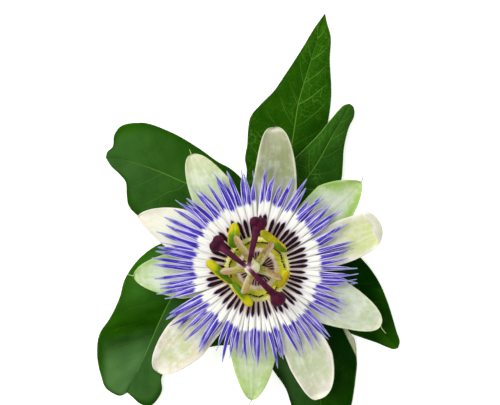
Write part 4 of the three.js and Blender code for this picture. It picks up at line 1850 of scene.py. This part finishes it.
@dataclass
class Leaf:
    """A leaf: a stalk and a blade of one to three lobes.

    Each half lobe has rows from the base to the tip, joined_rows of which lie before the
    notch where it is joined to its neighbour, and columns from midrib to edge.
    """

    node: str
    stalk: Sequence[Point]
    lobes: Sequence[Lobe]
    finish: LeafFinish
    thickness: float = 0.36
    stalk_radius: float = 0.85
    rows: int = 112
    joined_rows: int = 16
    columns: int = 40
    seed: int = 1
    quilting: float = 0.2
    swell: float = 0.3
    dry_curl: float = 0.9
    rib_height: float = 0.5
    lowest: float = 0.02

    def edge(self, lobe: Lobe, half: HalfLobe) -> Array:
        """The outer end of each row: along the line to the notch, then along the outline.

        Args:
            lobe: The lobe.
            half: Its left or right half.

        Returns:
            A point for each row.
        """
        tip_height = lobe.midrib[-1][2]
        base = np.array(lobe.midrib[0], float)
        inner = self.joined_rows if half.joined else 0
        run = np.linspace(0, 1, self.rows - inner)
        flat = Curve(half.outline).at(1 - (1 - run) ** 1.1)
        start = half.notch_height if half.joined else base[2]
        height = tip_height + (start - tip_height) * (1 - run) ** half.fall
        height = height + half.lift * np.sin(math.pi * run)
        outer = raised(flat, height)
        to_notch = base + (outer[0] - base) * (np.arange(inner) / max(inner, 1))[:, None]
        return np.concatenate([to_notch, outer])

    def dryness(self, half: HalfLobe, flat: Array) -> Array:
        """How far each point lies to the left of the half's dry line, up to one, or zero.

        Args:
            half: The half lobe.
            flat: Its points seen from above.

        Returns:
            One number for each point.
        """
        if not half.dry_line:
            return np.zeros(flat.shape[:-1])
        start, end = np.array(half.dry_line)
        return smooth(0.0, 1.5, crossed(unit(end - start), flat - start))

    def half_blade(self, lobe: Lobe, half: HalfLobe) -> Surface:
        """A half lobe's two faces.

        Each row is a straight line from the midrib to the outline, leaning forwards because it
        leaves the midrib at its share to the power 1.3. Its height bends from the midrib's to
        the edge's by the square of the way out, plus a crown by a sine, plus a quilting that
        sinks along the side veins, plus a slow swell, creases and a curl where it has dried.
        The upper face dips at the midrib, and the lower one stands down there as a rib.

        Args:
            lobe: The lobe.
            half: Its left or right half.

        Returns:
            Both faces, which meet at the rim.
        """
        share = np.linspace(0, 1, self.rows)
        out = np.linspace(0, 1, self.columns)
        run = share[:, None]
        spine = Curve(lobe.midrib).at(share**1.3)
        edge = self.edge(lobe, half)
        flat = spine[:, None, :2] * (1 - out[:, None]) + edge[:, None, :2] * out[:, None]
        rib = self.off_line(spine, flat)
        margin = self.off_line(edge, flat)
        joined = half.joined * (np.arange(self.rows) < self.joined_rows)[:, None]
        phase = lobe.veins * run - 0.4 * out**2
        crown = np.sin(math.pi * out) * np.sin(math.pi * run) ** 0.5 * smooth(0, 0.25, run)
        quilt = (0.5 - 0.5 * np.cos(TURN * phase)) * smooth(0.0, 2.5, rib)
        swell = ripple(flat, 16.0, self.seed) + 0.5 * ripple(flat, 7.0, self.seed + 3)
        swell = swell * smooth(0.0, 4.0, rib) * smooth(0.02, 0.2, run) * (1 - joined)
        creases = np.cos(TURN * (13.0 * run + 0.6 * out)) * bell(run - 0.64, 0.09)
        dry = self.dryness(half, flat)
        height = sum((
            spine[:, None, 2] + (edge[:, None, 2] - spine[:, None, 2]) * out**2,
            half.crown * crown,
            self.quilting * quilt * smooth(0.0, 3.0, margin + 3 * joined),
            self.swell * swell,
            half.folds * creases * np.sin(math.pi * out),
            self.dry_curl * dry,
            -0.14 * bell(rib, 0.4),
        ))
        rim = np.where(joined, 1.0, np.sqrt(1 - out**14))
        ridge = self.rib_height * bell(rib, 0.42) * (1 - 0.8 * run) * rim
        upper = height + self.thickness / 2 * rim
        lower = height - self.thickness / 2 * rim - ridge
        sunk = np.maximum(self.lowest - lower, 0)
        marks = {
            # tone is partly the leaf's own green and partly painted light and shade, and the sheen is
            # a painted reflection
            "tone": np.interp(run, np.linspace(0, 1, len(half.tone)), half.tone),
            "bloom": np.interp(run, np.linspace(0, 1, len(half.bloom)), half.bloom),
            "phase": phase, "reach": out, "rib": rib / (1.1 - 0.75 * run),
            "margin": margin + 9.0 * joined, "pale": half.pale_edge,
            "veined": half.veined, "dry": smooth(0.0, 0.25, dry),
        }
        return Surface.joined([
            Surface.grid(raised(flat, face + sunk), run, out, under=under, **marks)
            for face, under in ((upper, 0.0), (lower, 1.0))
        ])

    @staticmethod
    def off_line(line: Array, flat: Array) -> Array:
        """How far each row's points lie, seen from above, from a line with one point a row."""
        heading = unit(np.gradient(line[:, :2], axis=0))[:, None, :]
        return np.abs(crossed(flat - line[:, None, :2], heading))

    def build(self) -> Piece:
        """The blade's halves stitched along midribs and joined lines, with the stalk.

        Returns:
            The piece.
        """
        halves = [(lobe, half) for lobe in self.lobes for half in (lobe.left, lobe.right)]
        parts = [self.half_blade(lobe, half) for lobe, half in halves]
        run = eased(40)
        size = self.stalk_radius * (1.15 - 0.3 * run) * domed(run, 0.04)
        parts.append(Surface.tube(
            Curve(self.stalk).at(run), size, size * 0.8, 18, UP, tone=0.7, bloom=0.0,
            phase=0.5, reach=2.0, rib=9.0, margin=9.0, under=0.35,
        ))
        return write_piece(self.node, "blade", Surface.joined(parts), self.finish)


# --- floor, light and camera


@dataclass
class Studio:
    """A white floor under a large soft light, and the camera straight above.

    The camera's place is in millimetres from the flower's centre line, and lens and sensor
    are in millimetres. The floor and the lamp are in metres.
    """

    camera_place: Point = (-2.24, 21.28, 466.5)
    lens: float = 101.25
    sensor: float = 36.0
    floor_size: float = 6.0
    floor_level: float = -0.00005
    floor_colour: Point = tint(250, 250, 250)
    sky_strength: float = 0.5
    key_place: Point = (-0.75, 0.45, 1.15)
    key_size: float = 0.9
    key_power: float = 15.5
    floor_glow: float = 0.6

    def build_floor(self) -> None:
        """A square just under the surface that the flower lies on."""
        half = self.floor_size / 2
        corners = [(x, y, self.floor_level) for x in (-half, half) for y in (-half, half)]
        mesh = bpy.data.meshes.new("floor")
        mesh.from_pydata(corners, [], [(0, 2, 3, 1)])
        s = Shader("floor paper")
        grain = s.noise(900.0)
        mesh.materials.append(s.finished(
            Base_Color=self.floor_colour, Roughness=0.9 + grain * 0.05, Specular_IOR_Level=0.1,
            Emission_Color=self.floor_colour, Emission_Strength=self.floor_glow,
        ))
        floor = bpy.data.objects.new("floor", mesh)
        bpy.context.scene.collection.objects.link(floor)

    def build_light(self) -> None:
        """An even white sky and one broad lamp from the upper left."""
        world = bpy.data.worlds.new("studio")
        world.use_nodes = True
        background = world.node_tree.nodes["Background"]
        background.inputs["Color"].default_value = (1.0, 1.0, 1.0, 1.0)
        background.inputs["Strength"].default_value = self.sky_strength
        bpy.context.scene.world = world
        lamp = bpy.data.lights.new("key", "AREA")
        lamp.energy = self.key_power
        lamp.size = self.key_size
        key = bpy.data.objects.new("key", lamp)
        key.location = self.key_place
        key.rotation_euler = (-key.location).to_track_quat("-Z", "Y").to_euler()
        bpy.context.scene.collection.objects.link(key)

    def build_camera(self) -> None:
        """The camera, looking straight down with +Y up the picture."""
        data = bpy.data.cameras.new("camera")
        data.lens = self.lens
        data.sensor_width = self.sensor
        data.clip_start = 0.01
        camera = bpy.data.objects.new("camera", data)
        camera.location = FLOWER_ORIGIN + np.array(self.camera_place) * MM
        bpy.context.scene.collection.objects.link(camera)
        bpy.context.scene.camera = camera
        bpy.context.scene.view_settings.view_transform = "Standard"

    def build(self) -> None:
        """Camera, floor and light."""
        self.build_camera()
        self.build_floor()
        self.build_light()


# --- this flower


TEPALS = (
    Tepal(
        "petal_1", 77, (5.3, 45.5, 12.4), 7.2, -1.6, -0.05, 3.0, 0.44,
        # petal 1 is painted grey-khaki, darker than the other petals: painted shade where the dark
        # leaf beneath shows through
        TepalFinish(
            "petal 1", tint(148, 156, 112), tint(162, 168, 126), tint(188, 188, 156),
            tint(200, 200, 166), 0.35, 0.3,
        ),
        hollow=0.9, seed=1,
    ),
    Tepal(
        "sepal_1", 116, (-21.3, 36.7, 11.4), 7.3, 1.8, -0.2, 2.3, 0.52,
        TepalFinish(
            "sepal 1", tint(204, 216, 176), tint(196, 214, 158), tint(222, 226, 186),
            tint(150, 178, 92), 0.5, 0.6, 0.15, 0.6,
        ),
        keel=1.0, awn=((-0.2, 0.9, -0.6), (-0.7, 1.9, -0.7)), seed=2,
    ),
    Tepal(
        "petal_2", 163, (-38.3, 16.8, 12.6), 6.9, -2.4, 0.09, 1.6, 0.58,
        TepalFinish(
            "petal 2", tint(244, 246, 222), tint(240, 234, 214), tint(246, 236, 220),
            tint(236, 230, 210), 0.4, 0.4,
        ),
        hollow=0.7, seed=3,
    ),
    Tepal(
        "sepal_2", 195, (-39.8, -2.5, 10.6), 7.7, -0.6, 0.0, 2.0, 0.48,
        TepalFinish(
            "sepal 2", tint(220, 230, 204), tint(158, 196, 100), tint(166, 202, 108),
            tint(136, 174, 78), 0.7, 0.5, 0.15, 0.6,
        ),
        keel=1.0, awn=((-0.9, 0.1, -0.5), (-2.3, 0.5, -0.7)), seed=4,
    ),
    Tepal(
        "petal_3", 231, (-32.2, -33.2, 12.0), 7.4, -1.84, 0.11, 2.6, 0.62,
        TepalFinish(
            "petal 3", tint(212, 218, 172), tint(240, 226, 206), tint(242, 234, 214),
            tint(226, 220, 194), 0.5, 0.9,
        ),
        hollow=0.8, seed=5,
    ),
    Tepal(
        "sepal_3", 260, (-1.6, -42.6, 10.4), 7.5, 0.4, 0.02, 1.9, 0.5,
        TepalFinish(
            "sepal 3", tint(206, 220, 178), tint(176, 204, 122), tint(172, 204, 112),
            tint(150, 182, 92), 0.55, 0.5, 0.15, 0.6, tint(132, 142, 98),
        ),
        keel=1.0, awn=((-0.5, -0.9, -0.5), (-1.3, -2.0, -0.7)), seed=6,
    ),
    Tepal(
        "petal_4", 296, (19.8, -42.1, 12.0), 7.3, 1.2, 0.28, 2.6, 0.65,
        TepalFinish(
            "petal 4", tint(196, 208, 164), tint(222, 218, 202), tint(222, 214, 202),
            tint(216, 214, 184), 0.5, 0.6, 0.95,
        ),
        hollow=0.9, seed=7,
    ),
    Tepal(
        "sepal_4", 329, (40.1, -18.5, 10.4), 8.0, 0.5, 0.09, 2.3, 0.43,
        TepalFinish(
            "sepal 4", tint(218, 226, 206), tint(196, 212, 168), tint(214, 222, 192),
            tint(156, 184, 104), 0.4, 0.8, 0.5, 0.6,
        ),
        keel=1.0, awn=((0.4, -1.0, -0.4), (1.3, -2.2, -0.6), (1.9, -2.9, -0.7)), seed=8,
    ),
    Tepal(
        "petal_5", 8, (44.5, 15.6, 13.6), 6.9, -1.0, 0.16, 3.4, 0.55,
        # petal 5's underside, seen on its rolled flap, is near white: partly its own cream and partly
        # painted light on the flap
        TepalFinish(
            "petal 5", tint(212, 220, 160), tint(230, 224, 208), tint(240, 236, 218),
            tint(255, 254, 238), 0.45, 0.5, 0.7,
        ),
        hollow=0.8, roll=Roll((38.4, 12.5), (0.985, 0.17), 1.6, 2.6, 0.085), seed=9,
    ),
    Tepal(
        "sepal_5", 41, (33.6, 27.9, 11.4), 7.5, -0.8, 0.13, 1.5, 0.66,
        TepalFinish(
            "sepal 5", tint(210, 218, 198), tint(140, 184, 72), tint(172, 200, 98),
            tint(132, 172, 70), 0.75, 0.4, 0.15, 0.6, tint(104, 122, 62),
        ),
        keel=1.0, hollow=1.0, awn=((0.5, 0.6, -0.3), (0.7, 1.4, -0.4), (0.2, 2.0, -0.5)), seed=10,
    ),
)

UPPER_BASE = (6.7, 15.8, 3.6)
UPPER_LOBES = (
    Lobe(
        (UPPER_BASE, (-8.2, 21.8, 3.2), (-23.4, 27.7, 1.9), (-35.3, 32.7, 1.2), (-45.2, 35.6, 1.0),
         (-50.0, 36.1, 1.1)),
        left=HalfLobe(
            ((6.7, 15.8), (-1.0, 14.4), (-8.8, 14.6), (-23.7, 13.8), (-30.3, 13.5), (-35.3, 14.5),
             (-39.2, 16.8), (-42.5, 20.5), (-43.0, 23.8), (-43.5, 28.4), (-45.2, 30.4), (-48.5, 33.7),
             (-50.0, 36.1)),
            tone=(0.3, 0.3, 0.35), bloom=(0.1, 0.1, 0.5), veined=0.25,
        ),
        right=HalfLobe(
            ((-3.6, 27.4), (-6.5, 30.7), (-9.5, 33.0), (-12.1, 34.3), (-18.8, 39.0), (-28.7, 44.7),
             (-38.6, 47.7), (-45.8, 45.9), (-47.2, 43.6), (-47.8, 39.6), (-49.5, 38.0), (-50.0, 36.1)),
            joined=True, notch_height=2.4, tone=(0.2, 0.4, 0.5), bloom=(0.0, 0.1, 0.4), veined=0.15,
        ),
        veins=8.0,
    ),
    Lobe(
        (UPPER_BASE, (8.4, 22.1, 2.6), (10.0, 32.7, 1.2), (12.0, 43.0, 0.6), (14.0, 55.0, 0.5),
         (17.0, 65.1, 0.5), (22.6, 84.0, 0.7)),
        left=HalfLobe(
            ((-3.6, 27.4), (-3.4, 32.7), (-3.9, 35.3), (-3.2, 40.3), (-2.9, 45.3), (-2.2, 49.3),
             (1.7, 54.2), (5.4, 57.9), (9.3, 63.5), (15.3, 72.8), (19.3, 79.4), (22.6, 84.0)),
            joined=True, notch_height=2.4, fall=2.5, lift=0.5, tone=(0.3, 0.42, 0.62),
        ),
        right=HalfLobe(
            ((10.5, 23.5), (13.0, 25.8), (16.0, 28.7), (19.3, 33.7), (21.6, 38.7), (23.6, 47.9),
             (24.7, 56.9), (24.2, 68.5), (24.4, 76.7), (23.2, 81.0), (22.6, 84.0)),
            joined=True, notch_height=3.0, fall=5.0, tone=(0.1, 0.35, 0.65),
        ),
        veins=11.0,
    ),
    Lobe(
        (UPPER_BASE, (14.2, 26.1, 4.6), (20.1, 34.6, 4.4), (24.1, 41.9, 4.0), (29.0, 50.7, 3.3),
         (30.4, 53.9, 3.0)),
        left=HalfLobe(
            ((10.5, 23.5), (9.8, 28.5), (11.9, 34.9), (15.9, 39.2), (20.1, 43.5), (24.1, 48.4),
             (26.8, 51.6), (28.7, 53.4), (30.4, 53.9)),
            joined=True, notch_height=3.0, lift=1.4, tone=(0.5, 0.5, 0.6), bloom=(0.1, 0.1, 0.15),
            pale_edge=1.0,
        ),
        right=HalfLobe(
            ((6.7, 15.8), (12.6, 15.6), (18.2, 17.8), (24.1, 22.1), (27.9, 28.7), (28.4, 33.6),
             (28.7, 38.6), (29.4, 42.5), (30.7, 46.8), (32.0, 49.4), (32.2, 51.6), (31.6, 53.2),
             (30.4, 53.9)),
            lift=-0.8, tone=(0.3, 0.35, 0.45), bloom=(0.05, 0.1, 0.15),
        ),
        veins=8.0,
    ),
)

LOWER_BASE = (11.0, 10.5, 3.2)
LOWER_LOBES = (
    Lobe(
        (LOWER_BASE, (24.2, -3.4, 2.4), (37.5, -17.9, 0.9), (46.8, -26.9, 0.9)),
        left=HalfLobe(
            ((11.0, 10.5), (16.0, 12.8), (20.9, 12.2), (29.2, 8.2), (34.5, 2.9), (37.2, -0.1),
             (40.0, -4.2), (43.4, -12.0), (44.9, -16.6), (46.2, -21.2), (47.3, -25.2), (46.8, -26.9)),
            tone=(-0.1, -0.1, -0.1, 0.1, 0.4),
        ),
        right=HalfLobe(
            ((29.6, -21.3), (31.8, -22.4), (34.8, -23.5), (40.0, -25.3), (43.6, -26.8), (45.4, -27.3),
             (46.8, -26.9)),
            joined=True, notch_height=1.2, tone=(0.0, 0.1, 0.2, 0.8),
        ),
    ),
    Lobe(
        (LOWER_BASE, (14.3, -7.7, 2.2), (18.0, -25.9, 0.8), (19.6, -35.8, 0.5), (21.3, -45.8, 0.5),
         (22.9, -56.3, 0.7)),
        left=HalfLobe(
            ((29.6, -21.3), (31.9, -23.2), (32.8, -26.2), (33.0, -29.2), (33.2, -32.0), (32.8, -36.2),
             (32.2, -40.8), (31.3, -45.8), (29.2, -50.7), (25.9, -54.7), (22.9, -56.3)),
            joined=True, notch_height=1.2, tone=(-0.1, -0.1, 0.1), bloom=(0.0, 0.05, 0.0),
            dry_line=((29.0, -22.2), (32.8, -30.0)),
        ),
        right=HalfLobe(
            ((2.1, -17.0), (1.7, -25.9), (3.1, -30.2), (5.4, -34.2), (9.7, -40.6), (11.4, -45.8),
             (13.0, -50.1), (17.0, -54.0), (22.9, -56.3)),
            joined=True, notch_height=1.4, tone=(-0.1, 0.0, 0.0), bloom=(0.1, 0.2, 0.7, 0.2, 0.1),
        ),
    ),
    Lobe(
        (LOWER_BASE, (1.7, -2.7, 3.0), (-7.2, -15.3, 1.9), (-15.5, -26.6, 1.2)),
        left=HalfLobe(
            ((2.1, -17.0), (0.4, -21.6), (-3.9, -24.6), (-9.5, -25.9), (-13.5, -26.2), (-15.5, -26.6)),
            joined=True, notch_height=1.4, tone=(0.3, 0.3, 0.4),
        ),
        right=HalfLobe(
            ((11.0, 10.5), (8.4, 10.2), (2.7, 6.9), (-5.6, -0.4), (-12.2, -7.7), (-14.8, -12.6),
             (-17.1, -20.3), (-16.8, -24.9), (-15.5, -26.6)),
            tone=(0.3, 0.3, 0.4),
        ),
    ),
)

SIDE_BASE = (-16.5, 9.5, 3.0)
SIDE_LOBES = (
    Lobe(
        (SIDE_BASE, (-22.7, -1.0, 2.0), (-30.0, -13.6, 1.0), (-37.0, -29.1, 0.6), (-42.9, -41.7, 0.6)),
        left=HalfLobe(
            ((-16.5, 9.5), (-14.8, 5.6), (-14.8, -1.0), (-17.1, -12.6), (-22.1, -24.2), (-27.0, -30.8),
             (-30.3, -34.1), (-31.5, -36.8), (-31.3, -40.7), (-33.0, -44.0), (-35.3, -46.0),
             (-38.6, -45.3), (-40.9, -43.4), (-42.9, -41.7)),
            lift=1.0, tone=(0.1, 0.1, 0.15), bloom=(0.0, 0.1, 0.25, 0.4, 0.4), veined=0.3,
        ),
        right=HalfLobe(
            ((-16.5, 9.5), (-22.1, 9.9), (-27.0, 8.9), (-31.8, 7.7), (-37.6, 3.9), (-40.9, 0.3),
             (-43.6, -4.3), (-45.2, -10.0), (-48.5, -16.9), (-51.8, -21.9), (-52.7, -29.5),
             (-51.5, -35.8), (-49.9, -40.1), (-47.9, -41.7), (-45.2, -42.7), (-42.9, -41.7)),
            lift=1.6, crown=0.9,
            tone=(0.6, 0.7, 0.75, 0.8, 0.8, 0.75, 0.75, 0.6, 0.5, 0.4, 0.15, 0.4, 0.5, 0.5, 0.5),
            bloom=(0.0, 0.2, 0.3, 0.3, 0.3, 0.3, 0.2, 0.1, 0.0, 0.0, 0.4, 1.0, 1.2, 1.0, 0.3),
            veined=0.6, folds=0.6,
        ),
        veins=10.0,
    ),
)

LEAVES = (
    Leaf(
        "leaf_1", ((0.4, 12.6, 2.2), (1.4, 13.9, 2.8), (4.0, 15.1, 3.3), (7.6, 16.4, 3.5)),
        UPPER_LOBES, LeafFinish("upper leaf", veins=1.0), seed=21,
    ),
    Leaf(
        "leaf_2", ((4.6, 12.0, 1.9), (6.4, 11.8, 2.7), (9.4, 11.2, 3.1), (12.0, 9.6, 3.1)),
        LOWER_LOBES, LeafFinish("lower leaf", veins=0.14), seed=22,
    ),
    Leaf(
        "leaf_3", ((-10.6, 11.0, 2.0), (-11.8, 10.2, 2.7), (-13.8, 9.8, 3.0), (-17.4, 8.6, 3.0)),
        SIDE_LOBES, LeafFinish("side leaf", veins=0.45), seed=23,
    ),
)


def main() -> None:
    """Builds the studio and the flower's sub-assemblies in order, from the floor up."""
    logging.basicConfig(level=logging.INFO, format="%(name)s: %(message)s")
    Studio().build()
    Stalks().build()
    for leaf in LEAVES:
        leaf.build()
    cup = FlowerCup()
    cup.build_cup()
    cup.build_short_filaments()
    cup.build_lid()
    for tepal in TEPALS:
        tepal.build()
    Corona().build()
    Stamens().build()
    Pistil().build()


if __name__ == "__main__":
    main()
